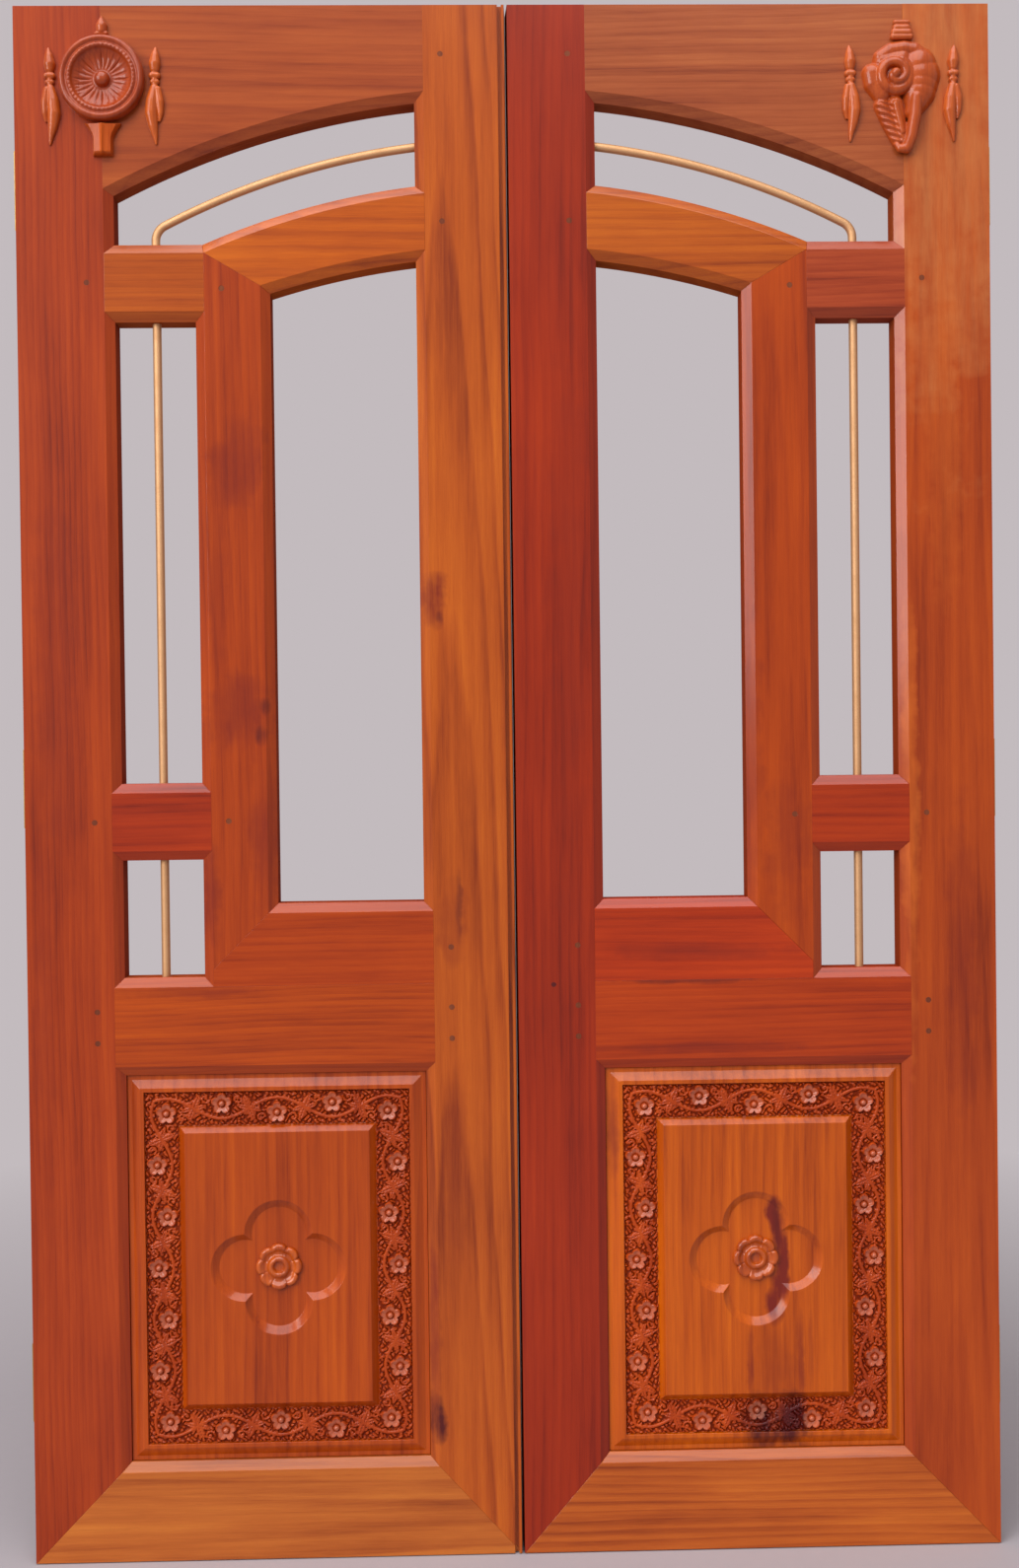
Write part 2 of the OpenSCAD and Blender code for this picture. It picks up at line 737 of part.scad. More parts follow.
// Each side has its flowers from the first corner up to the next
module flowers(radius, notch) {
    outline = [for (a = [0 : 9 : 351]) (radius + notch * cos(5 * a)) * [sin(a), cos(a)]];
    for (s = [0 : 3], i = [0 : side_steps(s) - 1])
        band_side(s) translate([side_half(s) - i * side_pitch(s), i % 2 == 0 ? -flower_shift : flower_shift])
            polygon(outline);
}

module flower_eyes() {
    for (s = [0 : 3], i = [0 : side_steps(s) - 1])
        band_side(s) translate([side_half(s) - i * side_pitch(s), i % 2 == 0 ? -flower_shift : flower_shift])
            circle(eye_r, $fn = 24);
}

// The stem swings past each flower on the side that the flower leaves free
module stem(s) {
    steps = side_steps(s) * 10;
    function swing(k) = stem_swing * cos(18 * k);
    function along(k) = side_half(s) - k * side_pitch(s) / 10;
    upper = [for (k = [0 : steps]) [along(k), swing(k) + stem_w / 2]];
    lower = [for (k = [steps : -1 : 0]) [along(k), swing(k) - stem_w / 2]];
    band_side(s) polygon(concat(upper, lower));
}

// Two leaves at each crossing of the stem, one to each side of it
module leaves(s) {
    half = [for (k = [0 : 6]) [vine_leaf_l * k / 6, vine_leaf_w * sin(30 * k)]];
    back = [for (k = [5 : -1 : 1]) [vine_leaf_l * k / 6, -vine_leaf_w * sin(30 * k)]];
    for (i = [0 : side_steps(s) - 1], turn = [70, 250])
        band_side(s) translate([side_half(s) - (i + 0.5) * side_pitch(s), 0])
            rotate(i % 2 == 0 ? turn : 180 - turn) translate([-leaf_root, 0]) polygon(concat(half, back));
}

module carved_panel(side) {
    color(carved_teak) on_leaf(side) {
        difference() {
            union() {
                difference() {
                    union() {
                        board(-tongue_l, tongue_back, tongue_front);
                        board(panel_clear, tongue_front + sunk, ledge_y);
                        sloped_board(ledge_w - sunk, ledge_back_y, border_in, border_y);
                    }
                    board(band_in, ground_y, border_y - far / 100);
                }
                sloped_board(field_foot_in, ground_y, field_in, field_y);
                board(field_foot_in, ground_y + sunk, ground_y);
            }
            quatrefoil();
        }
        forward(ground_y + sunk, vine_h + sunk) for (s = [0 : 3]) {
            stem(s);
            leaves(s);
        }
        forward(ground_y + sunk, flower_h + sunk) flowers(flower_r, petal_d);
        forward(ground_y - flower_h + sunk, eye_h + sunk) flower_eyes();
    }
}

module rosette(side) {
    function petal(a) = rosette_r + rosette_notch * cos(rosette_petals * a);
    outline = [for (a = [0 : 5 : 355]) petal(a) * [cos(a), sin(a)]];
    dish_ball_r = (rosette_r * rosette_r + rosette_dish * rosette_dish) / (2 * rosette_dish);
    color(teak) on_leaf(side) translate([panel_mid[0], 0, panel_mid[1]]) facing(hollow_y) difference() {
        union() {
            difference() {
                linear_extrude(rosette_h) polygon(outline);
                translate([0, 0, rosette_h - rosette_dish + dish_ball_r]) sphere(dish_ball_r, $fn = 200);
            }
            cylinder(r = rosette_ring_r, h = rosette_h);
        }
        translate([0, 0, rosette_h / 2]) cylinder(r = rosette_eye_r, h = rosette_h);
    }
}

// The rod's stretches meet in hair-thin welds
module brass_rod(side) {
    weld_r = rod_r + rod_clear / 2;
    color(brass) on_leaf(side) {
        rod_upright();
        rod_bend();
        rod_arch();
        for (turn = [0, bend_turn])
            translate([bend_u - rod_bend_r * cos(turn), 0, bend_z + rod_bend_r * sin(turn)]) sphere(weld_r);
    }
}

module tenon_pegs(side) {
    color(dark_teak) on_leaf(side) {
        pegs(hinge_tenons);
        pegs(meeting_tenons);
        pegs(mullion_tenons);
    }
}

// Places a copy at every hinge of a leaf
module at_hinges() {
    for (z = hinge_z) translate([0, 0, z]) children();
}

// Places a copy at every screw hole of a plate, with the third axis across the leaf
module at_holes() {
    for (y = [-1, 1], z = [-1, 1])
        translate([0, back_y - plate_w / 2 + y * hole_across / 2, z * hole_along / 2])
            rotate([0, 90, 0]) children();
}

// Beds in the leaf's edge, as deep as the plates
module hinge_beds() {
    at_hinges() translate([-plate_t, back_y - plate_w - screw_clear, -hinge_h / 2 - screw_clear])
        cube([2 * plate_t, plate_w + leaf_t, hinge_h + 2 * screw_clear]);
}

// The knuckles of one plate, each with the strap that joins it to the plate
module knuckles(rows, strap_u) {
    h = knuckle_h - knuckle_gap;
    for (row = rows) translate([0, 0, row * knuckle_h - hinge_h / 2 + knuckle_gap / 2]) {
        translate([pin_u, pin_y, 0]) cylinder(r = knuckle_r, h = h);
        translate([strap_u, back_y - sunk, 0]) cube([plate_t, pin_y - back_y + sunk, h]);
    }
}

module pin_bore() {
    translate([pin_u, pin_y, -hinge_h]) cylinder(r = pin_r + pin_clear, h = 2 * hinge_h);
}

module hinge_plates(side) {
    color(brass) on_leaf(side) at_hinges() difference() {
        union() {
            translate([0, back_y - plate_w, -hinge_h / 2]) cube([plate_t, plate_w, hinge_h]);
            knuckles(leaf_knuckles, 0);
        }
        pin_bore();
        at_holes() screw(screw_clear);
    }
}

module jamb_plates(side) {
    outer_u = -hinge_gap - plate_t;
    color(brass) on_leaf(side) at_hinges() difference() {
        union() {
            translate([outer_u, back_y - plate_w, -hinge_h / 2]) cube([plate_t, plate_w, hinge_h]);
            knuckles(jamb_knuckles, outer_u);
        }
        pin_bore();
        at_holes() translate([0, 0, outer_u - plate_t]) cylinder(r = jamb_hole_r, h = 3 * plate_t);
        at_holes() translate([0, 0, -hinge_gap - jamb_sink_d])
            cylinder(r1 = jamb_hole_r, r2 = jamb_sink_r, h = jamb_sink_d);
    }
}

// A pin with a low domed cap at each end
module hinge_pins(side) {
    cap_r = knuckle_r;
    dome_r = (cap_r * cap_r + cap_h * cap_h) / (2 * cap_h);
    color(brass) on_leaf(side) at_hinges() translate([pin_u, pin_y, 0]) {
        cylinder(r = pin_r, h = hinge_h, center = true);
        for (end = [0, 1]) mirror([0, 0, end]) translate([0, 0, hinge_h / 2 - knuckle_gap / 2])
            intersection() {
                cylinder(r = cap_r - knuckle_gap, h = cap_h);
                translate([0, 0, cap_h - dome_r]) sphere(dome_r);
            }
    }
}

// A countersunk wood screw along the third axis, or with some slack the hole for it
module screw(slack = 0) {
    head_h = screw_head_r - screw_r;
    translate([0, 0, slack > 0 ? 0 : screw_clear])
        cylinder(r1 = screw_head_r + slack, r2 = screw_r + slack, h = head_h);
    translate([0, 0, screw_clear]) cylinder(r = screw_r + slack, h = screw_l + slack);
}

module screws(slack = 0) {
    at_hinges() at_holes() screw(slack);
}

module hinge_screws(side) {
    color(brass) on_leaf(side) screws();
}

// Places a drawing on an emblem's middle, with its third axis forward from the leaf's face
module on_emblem(side) {
    on_leaf(side) translate([emblem_u, 0, emblem_z]) facing(face_y) children();
}

// Half a ball that lies on the wood, sunk so that it stands as high as asked
module lump(at, r, h) {
    translate([at[0], at[1], 0]) intersection() {
        translate([0, 0, h - r]) sphere(r, $fn = carving_fn);
        translate([-r, -r, 0]) cube([2 * r, 2 * r, r + h]);
    }
}

// A smooth carved form through lumps, each given by its place, radius and height
module carved(lumps) {
    hull() for (l = lumps) lump(l[0], l[1], l[2]);
}

// A round bead turned on the discus's face
module ring_bead(ring_r, bead_r) {
    translate([0, 0, disc_t]) rotate_extrude() translate([ring_r, 0]) circle(bead_r, $fn = 48);
}

module discus() {
    dish_ball_r = (dish_r * dish_r + dish_d * dish_d) / (2 * dish_d);
    color(carved_teak) on_emblem(left) {
        difference() {
            cylinder(r = disc_r, h = disc_t);
            translate([0, 0, disc_t - dish_d + dish_ball_r]) sphere(dish_ball_r, $fn = 200);
        }
        ring_bead(disc_r - rim_r, rim_r);
        ring_bead(dish_r + rim_r / 2, rim_r / 2);
        intersection() {
            translate([0, 0, disc_t - dish_d]) sphere(hub_r);
            cylinder(r = disc_r, h = disc_t + hub_r);
        }
    }
}

// A bud over an emblem, from its own foot
module crown(foot) {
    carved([
        [[0, foot + 9], 9, 9],
        [[0, foot + crown_h - 2], 2, 4]
    ]);
}

module discus_crown() {
    color(carved_teak) on_emblem(left) crown(disc_r + 0.3);
}

module discus_foot() {
    half_top = foot_top_w / 2;
    half_base = foot_base_w / 2;
    top = -disc_r - 2;
    waist = top - foot_step_h;
    base = waist - foot_step_h;
    outline = [
        [-half_top, top], [half_top, top], [half_base, waist],
        [half_base, base], [-half_base, base], [-half_base, waist]
    ];
    color(carved_teak) on_emblem(left) linear_extrude(foot_t) polygon(outline);
}

// A side flame, drawn 126 units high: a bud, two beads and a twofold leaf that bows towards the emblem
module flame(bow) {
    carved([[[0, 30], 8, 9], [[-bow, 60], 3, 5]]);
    carved([[[-4, 19], 5, 7], [[4, 19], 5, 7]]);
    carved([[[-3, 11], 4, 6], [[3, 11], 4, 6]]);
    carved([[[bow, 3], 6, 8], [[4 * bow, -20], 9, 11], [[0, -60], 3, 4]]);
    carved([[[-3 * bow, 3], 5, 7], [[-6 * bow, -18], 5, 8], [[-5 * bow, -30], 3, 5]]);
}

module flames(side) {
    on_emblem(side) for (s = [-1, 1])
        translate([s * flame_off, 0, 0]) scale(flame_h / 126) translate([0, -22, 0]) flame(-s);
}

module discus_flames() {
    color(carved_teak) flames(left);
}

// The conch, drawn 150 units high: whorled shoulder on one side, full belly on the other, a hood over
// both and a pleated tail below
module conch() {
    h = relief_h;
    whorl = [11, 0];
    belly = [-24, 4];
    tip = [3, -97];
    color(carved_teak) on_emblem(right) scale([conch_h / 150, conch_h / 150, 1]) {
        carved([[whorl, 30, h - 3], [[26, 2], 26, h - 6]]);
        carved([[whorl, 20, h - 5], [[24, 34], 10, h - 7], [[-20, 36], 10, h - 6]]);
        carved([[belly, 30, h], [[-22, -20], 22, h - 3], [whorl, 22, h - 4]]);
        carved([[[22, -34], 15, h - 4], [[-6, -34], 16, h - 3], [tip, 10, h - 6]]);
        carved([[[-12, -36], 9, h], [[-5, -80], 8, h - 2], [[2, -98], 6, h - 5]]);
        for (p = [[26, 5], [21, 9], [17, 13]])
            carved([for (a = [0 : 60 : 300]) [whorl + (p[0] - 6) * [cos(a), sin(a)], 6, h + p[1] / 3]]);
        carved([[whorl, 9, h + 7]]);
        for (k = [0 : 4])
            carved([[[26 - 4 * k, -38 - 11 * k], 4, h - 2], [[8 - 1.5 * k, -42 - 11 * k], 4, h - 1]]);
    }
}

module conch_crown() {
    foot = conch_crown_z;
    color(carved_teak) on_emblem(right) carved([
        [[-10, foot + 5], 5, 8], [[10, foot + 5], 5, 8],
        [[-8, foot + crown_h - 3], 3, 6], [[8, foot + crown_h - 3], 3, 6]
    ]);
}

module conch_flames() {
    color(carved_teak) flames(right);
}

hinge_stile(left);  // left_hinge_stile
meeting_stile(left);  // left_meeting_stile
top_rail(left);  // left_top_rail
arched_rail(left);  // left_arched_rail
mullion(left);  // left_mullion
sill_rail(left);  // left_sill_rail
upper_link_rail(left);  // left_upper_link_rail
lower_link_rail(left);  // left_lower_link_rail
lock_rail(left);  // left_lock_rail
bottom_rail(left);  // left_bottom_rail
carved_panel(left);  // left_carved_panel
rosette(left);  // left_rosette
brass_rod(left);  // left_brass_rod
tenon_pegs(left);  // left_tenon_pegs
hinge_plates(left);  // left_hinge_plates
hinge_screws(left);  // left_hinge_screws
jamb_plates(left);  // left_jamb_plates
hinge_pins(left);  // left_hinge_pins
discus();
discus_crown();
discus_foot();
discus_flames();
hinge_stile(right);  // right_hinge_stile
meeting_stile(right);  // right_meeting_stile
top_rail(right);  // right_top_rail
arched_rail(right);  // right_arched_rail
mullion(right);  // right_mullion
sill_rail(right);  // right_sill_rail
upper_link_rail(right);  // right_upper_link_rail
lower_link_rail(right);  // right_lower_link_rail
lock_rail(right);  // right_lock_rail
bottom_rail(right);  // right_bottom_rail
carved_panel(right);  // right_carved_panel
rosette(right);  // right_rosette
brass_rod(right);  // right_brass_rod
tenon_pegs(right);  // right_tenon_pegs
hinge_plates(right);  // right_hinge_plates
hinge_screws(right);  // right_hinge_screws
jamb_plates(right);  // right_jamb_plates
hinge_pins(right);  // right_hinge_pins
conch();
conch_crown();
conch_flames();
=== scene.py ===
# %% [markdown]
# # A pair of carved temple doors
# Two teak leaves hang side by side and meet on a beaded edge. Each has an arched head, lights crossed by a
# bent brass rod, a carved panel below and an applied emblem in its top corner. The measured doors come in
# first, and every piece made here is laid exactly over them.

# %% The measured doors
import math
import bpy
import numpy as np
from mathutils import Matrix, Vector


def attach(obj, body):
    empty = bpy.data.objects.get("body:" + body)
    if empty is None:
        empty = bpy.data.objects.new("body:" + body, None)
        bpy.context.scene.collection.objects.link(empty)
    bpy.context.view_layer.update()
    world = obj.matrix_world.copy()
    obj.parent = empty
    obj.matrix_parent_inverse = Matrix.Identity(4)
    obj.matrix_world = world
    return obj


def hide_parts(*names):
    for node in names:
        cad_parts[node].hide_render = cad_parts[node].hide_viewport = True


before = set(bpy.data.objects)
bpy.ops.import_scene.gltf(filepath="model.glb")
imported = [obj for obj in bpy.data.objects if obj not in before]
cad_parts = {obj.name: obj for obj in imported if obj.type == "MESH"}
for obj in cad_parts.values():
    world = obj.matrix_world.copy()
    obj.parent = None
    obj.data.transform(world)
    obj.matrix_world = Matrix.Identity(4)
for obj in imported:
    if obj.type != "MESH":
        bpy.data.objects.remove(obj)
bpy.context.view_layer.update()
mm = 0.001
face_y = -19.0       # the front of the boards; their back is as far behind the middle
leaf_step = 613.0    # from the left panel's middle to the right panel's
emblem_x, emblem_z = 508.0, 1885.9

# %% [markdown]
# ## Working by hand
# Operators act on whatever is selected, so each piece starts with nothing selected and ends with its turn
# and size written into its mesh. Two more habits help with carving: pressing a surface, which moves each
# point by a rule, and easing, which takes the sharpness off every arris as fine paper does.

# %% Bench habits
weld_gap = 0.002


def start_fresh():
    if bpy.context.mode != "OBJECT":
        bpy.ops.object.mode_set(mode="OBJECT")
    bpy.ops.object.select_all(action="DESELECT")


def take(piece):
    start_fresh()
    piece.select_set(True)
    bpy.context.view_layer.objects.active = piece
    return piece


def settle(name):
    piece = bpy.context.object
    if bpy.context.mode != "OBJECT":
        bpy.ops.object.mode_set(mode="OBJECT")
    bpy.ops.object.transform_apply(location=True, rotation=True, scale=True)
    piece.name = piece.data.name = name
    return piece


def finish_with(piece, kind, **settings):
    take(piece)
    bpy.ops.object.modifier_add(type=kind)
    modifier = piece.modifiers[-1]
    for key, value in settings.items():
        setattr(modifier, key, value)
    bpy.ops.object.modifier_apply(modifier=modifier.name)
    return piece


def smooth(piece, degrees=35):
    take(piece)
    bpy.ops.object.shade_smooth_by_angle(angle=math.radians(degrees))
    return piece


def ease(piece, width, segments=2, degrees=25):
    finish_with(piece, "BEVEL", width=width * mm, segments=segments, limit_method="ANGLE",
                angle_limit=math.radians(degrees), use_clamp_overlap=True)
    smooth(piece)
    return finish_with(piece, "WEIGHTED_NORMAL", mode="FACE_AREA", weight=80, keep_sharp=True)


def points_of(piece):
    flat = np.empty(len(piece.data.vertices) * 3)
    piece.data.vertices.foreach_get("co", flat)
    return flat.reshape(-1, 3) / mm


def press(piece, points):
    piece.data.vertices.foreach_set("co", (points * mm).ravel())
    piece.data.update()
    return piece


def close_up(piece):
    take(piece)
    bpy.ops.object.mode_set(mode="EDIT")
    bpy.ops.mesh.select_all(action="SELECT")
    bpy.ops.mesh.remove_doubles(threshold=weld_gap * mm)
    bpy.ops.mesh.normals_make_consistent(inside=False)
    bpy.ops.object.mode_set(mode="OBJECT")
    return piece


def twin(piece, name, across):
    take(piece)
    bpy.ops.object.duplicate(linked=False)
    bpy.ops.transform.translate(value=(across * mm, 0, 0))
    return settle(name)


def place(piece, body, slot, *nodes):
    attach(piece, body)
    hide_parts(*nodes)
    print(piece.name, len(piece.data.polygons), "faces on", body)


# %% [markdown]
# ## Writing a finish
# A finish is a small network of nodes. Wrapping a socket in a class with its own plus, minus and times lets
# the network be written as sums, and one method adds every other kind of node, its settings first.

# %% Finishes as sums
class Wire:
    def __init__(self, finish, socket):
        self.finish, self.socket = finish, socket

    def sum(self, operation, *values):
        return self.finish.node("ShaderNodeMath", {"operation": operation}, dict(enumerate(values)))

    def other(self, out):
        return Wire(self.finish, self.socket.node.outputs[out])

    def __add__(self, value): return self.sum("ADD", self, value)
    def __radd__(self, value): return self.sum("ADD", value, self)
    def __sub__(self, value): return self.sum("SUBTRACT", self, value)
    def __rsub__(self, value): return self.sum("SUBTRACT", value, self)
    def __mul__(self, value): return self.sum("MULTIPLY", self, value)
    def __rmul__(self, value): return self.sum("MULTIPLY", value, self)
    def __truediv__(self, value): return self.sum("DIVIDE", self, value)
    def __pow__(self, value): return self.sum("POWER", self, value)
    def part(self): return self.sum("FRACT", self)
    def root(self): return self.sum("SQRT", self)
    def least(self, value): return self.sum("MINIMUM", self, value)
    def most(self, value): return self.sum("MAXIMUM", self, value)
    def size(self): return self.sum("ABSOLUTE", self)
    def within(self): return self.most(0.0).least(1.0)


class Finish:
    def __init__(self, name, owner=None):
        self.material = owner or bpy.data.materials.new(name)
        self.material.use_nodes = True
        self.tree = self.material.node_tree
        self.skin = self.tree.nodes.get("Principled BSDF")

    def node(self, kind, settings=None, sockets=None, out=0):
        node = self.tree.nodes.new(kind)
        for key, value in (settings or {}).items():
            if key == "stops":
                ramp = node.color_ramp.elements
                while len(ramp) < len(value):
                    ramp.new(0.5)
                for stop, (where, colour) in zip(ramp, value):
                    stop.position, stop.color = where, colour
            else:
                setattr(node, key, value)
        for key, value in (sockets or {}).items():
            self.feed(node.inputs[key], value)
        return Wire(self, node.outputs[out])

    def feed(self, socket, value):
        if isinstance(value, Wire):
            self.tree.links.new(value.socket, socket)
        else:
            socket.default_value = value

    def set(self, **sockets):
        for key, value in sockets.items():
            self.feed(self.skin.inputs[key.replace("_", " ")], value)

    def noise(self, vector, scale, detail=2.0, roughness=0.5):
        return self.node("ShaderNodeTexNoise", None, {"Vector": vector, "Scale": scale, "Detail": detail,
                                                      "Roughness": roughness})

    def mix(self, share, first, second):
        return self.node("ShaderNodeMix", {"data_type": "RGBA"}, {0: share, 6: first, 7: second}, out=2)

    def bump(self, height, strength, distance):
        return self.node("ShaderNodeBump", None, {"Height": height, "Strength": strength,
                                                  "Distance": distance * mm})


def tint(red, green, blue):
    def light(v):
        v /= 255
        return v / 12.92 if v <= 0.04045 else ((v + 0.055) / 1.055) ** 2.4
    return (light(red), light(green), light(blue), 1.0)


def shade(colour, red, green, blue):
    return tuple(max(0.0, c * k) for c, k in zip(colour, (red, green, blue))) + (1.0,)


print("finishes: wood, brass")

# %% [markdown]
# ## Varnished teak
# Teak is a warm red brown with darker lines where each year's growth ends. A board is a slice of a round
# trunk, so its lines are drawn here as a trunk too: the distance from a pith that lies behind or beside the
# board, a little slanted along the grain, gives straight lines on one board and arched ones on another.
# Streaks, fibres and soft clouds are noises stretched along the grain. The varnish is a clear coat. A mark is
# a knot, a stain, a paler patch, painted shade or painted light: a ragged ellipse with its middle, half width,
# half height, strength and colour. The carving's hollows are painted dark as shade and its petals paler as a
# highlight, and faces inside the openings are painted darker as shade and left without varnish.

# %% Teak
coat_roughness, wood_specular, mark_wobble = 0.16, 0.10, 1.7


def with_marks(f, colour, spot, marks, ragged):
    x = f.node("ShaderNodeSeparateXYZ", None, {0: spot})
    z = x.other(2)
    sway, drift = f.noise(spot, 34.0, 3.0, 0.6) - 0.5, f.noise(spot, 15.0, 3.0, 0.6) - 0.5
    for left, low, wide, tall, strength, mark_colour in marks:
        off = ((x - left * mm) / (wide * mm) + sway * mark_wobble).size() ** 2.0
        off = off + ((z - low * mm) / (tall * mm) + drift * mark_wobble).size() ** 2.0
        colour = f.mix(((1.0 - off).most(0.0) * ragged * strength).within(), colour, tint(*mark_colour))
    return colour


def teak(name, tone, upright=True, pith=(0.0, 0.09), spacing=9.0, slant=0.012, seed=0.0, figure=1.0,
         marks=(), hollow=False, gloss=0.6, edges=False):
    f = Finish(name)
    spot = f.node("ShaderNodeTexCoord", out=3)
    x = f.node("ShaderNodeSeparateXYZ", None, {0: spot})
    y, z = x.other(1), x.other(2)
    along, across = (z, x) if upright else (x, z)

    def stretched(long, wide, detail=2.0, roughness=0.5, shift=0.0):
        vector = f.node("ShaderNodeCombineXYZ", None, {0: along * long + (seed + shift), 1: across * wide,
                                                       2: y * wide})
        return f.noise(vector, 1.0, detail, roughness)

    # Growth rings round the pith, wandering a little, each one darkest at its late edge.
    wander = stretched(1.6, 5.0, 2.0) - 0.5
    aside = across - pith[0] + wander * 0.035
    depth = y - pith[1]
    reach = (aside * aside + depth * depth).root() + along * slant
    rings = ((reach + (stretched(4.0, 60.0, 3.0) - 0.5) * 0.004) / (spacing * mm)).part()
    late = rings ** 2.2 * (1.0 - (rings - 0.86).most(0.0) * 7.0).most(0.0)

    # Streaks, fibres and clouds lie over the rings, and together they pick the tone.
    streak = stretched(2.2, 75.0, 5.0, 0.62, 3.1) - 0.5
    fibre = stretched(26.0, 900.0, 3.0, 0.6, 7.7) - 0.5
    clouds = stretched(3.2, 11.0, 3.0, 0.55, 11.3) - 0.5
    tonal = 0.5 - late * (0.20 * figure) + streak * 0.95 + fibre * 0.36 + clouds * 0.70
    colour = f.node("ShaderNodeValToRGB", {"stops": (
        (0.08, shade(tone, 0.50, 0.34, 0.30)), (0.36, shade(tone, 0.86, 0.78, 0.74)),
        (0.54, shade(tone, 1.02, 1.03, 1.02)), (0.92, shade(tone, 1.32, 1.62, 1.60)))}, {0: tonal})
    pores = (stretched(60.0, 1500.0, 2.0, 0.6, 17.0) - 0.60).most(0.0) * 3.0
    colour = f.mix(pores.within() * 0.5, colour, shade(tone, 0.42, 0.28, 0.26))
    if marks:
        colour = with_marks(f, colour, spot, marks, stretched(12.0, 90.0, 4.0, 0.62, 29.0) * 1.9 - 0.15)

    # What the varnish does: none in the hollows painted dark as shade, nor on the bare edges, which are painted
    # darker as shade.
    sheen = 0.38 + (stretched(7.0, 40.0, 3.0, 0.5, 23.0) - 0.5) * 0.20 + late * 0.06
    varnish = gloss
    if hollow:
        hollow_shade = f.node("ShaderNodeAttribute", {"attribute_name": "hollow"}, out=2)
        rubbed = f.node("ShaderNodeAttribute", {"attribute_name": "rubbed"}, out=2)
        # Painted highlight: the petals are mixed towards a pale colour.
        colour = f.mix(rubbed * 0.26, colour, tint(214, 140, 108))
        # Painted shade: the deep parts of the carving are mixed towards a dark brown.
        colour = f.mix(hollow_shade * 0.80, colour, shade(tone, 0.26, 0.12, 0.10))
        varnish = (1.0 - hollow_shade).most(0.0) * (0.35 + rubbed * 0.65)
    if edges:
        # Painted shade: faces inside the openings and along the edges are mixed darker, and lose their varnish.
        bare = f.node("ShaderNodeAttribute", {"attribute_name": "bare"}, out=2)
        colour = f.mix(bare * 0.5, colour, shade(tone, 0.50, 0.40, 0.40))
        sheen, varnish = sheen + bare * 0.5, (1.0 - bare) * gloss
    relief_of_grain = fibre * 0.6 + streak * 0.5 - late * 0.25
    f.set(Base_Color=colour, Roughness=sheen, Normal=f.bump(relief_of_grain, 0.25, 0.25), Coat_Weight=varnish,
          Coat_Roughness=coat_roughness, Specular_IOR_Level=wood_specular)
    return f.material


print("teak ready")

# %% [markdown]
# ## The boards of the leaves
# Stiles, rails and mullions keep the measured shape. On the real door every arris has been eased with paper
# before varnishing, so thin highlights run along the edges and a fine dark line marks each joint. A copy of
# each board is merged, its flat faces are joined up again, and a narrow bevel eases its edges. Each board
# was sawn from its own plank, so each gets its own tone, pith, figure and marks. Faces that look sideways, up
# or down, inside the openings and along the edges, are noted as bare of varnish and painted darker as shade.
# Where the leaves meet, their edges are planed a little out of square: open at the front, almost touching at
# the back, so that no light shows between them and either leaf still swings past the other.

# %% Tones of the boards
tones = {
    "left_hinge_stile": (166, 58, 8), "right_hinge_stile": (175, 68, 10),
    "left_meeting_stile": (185, 85, 18), "right_meeting_stile": (156, 42, 4),
    "left_top_rail": (167, 75, 28), "right_top_rail": (168, 84, 42),
    "left_arched_rail": (193, 90, 12), "right_arched_rail": (186, 88, 16),
    "left_mullion": (172, 63, 5), "right_mullion": (175, 65, 4),
    "left_sill_rail": (172, 61, 4), "right_sill_rail": (177, 52, 4),
    "left_upper_link_rail": (180, 82, 14), "right_upper_link_rail": (168, 67, 30),
    "left_lower_link_rail": (165, 48, 4), "right_lower_link_rail": (167, 50, 4),
    "left_lock_rail": (180, 70, 4), "right_lock_rail": (175, 58, 4),
    "left_bottom_rail": (188, 99, 35), "right_bottom_rail": (190, 92, 26),
}
plum, soot, amber, honey = (122, 32, 17), (84, 20, 18), (206, 100, 30), (214, 138, 78)
pith_of = {
    "left_hinge_stile": (-0.70, 0.02), "right_hinge_stile": (0.56, 0.075),
    "left_meeting_stile": (-0.080, 0.0893), "right_meeting_stile": (0.16, 0.03),
    "left_mullion": (-0.42, 0.05), "right_mullion": (0.33, 0.06),
    "left_top_rail": (1.80, 0.12), "right_top_rail": (2.10, 0.03),
    "left_arched_rail": (1.62, 0.10), "right_arched_rail": (1.93, 0.06),
    "left_bottom_rail": (0.05, 0.07), "right_bottom_rail": (-0.12, 0.05),
}
figure_of = {"left_meeting_stile": 1.9, "left_bottom_rail": 1.4, "right_bottom_rail": 1.4}
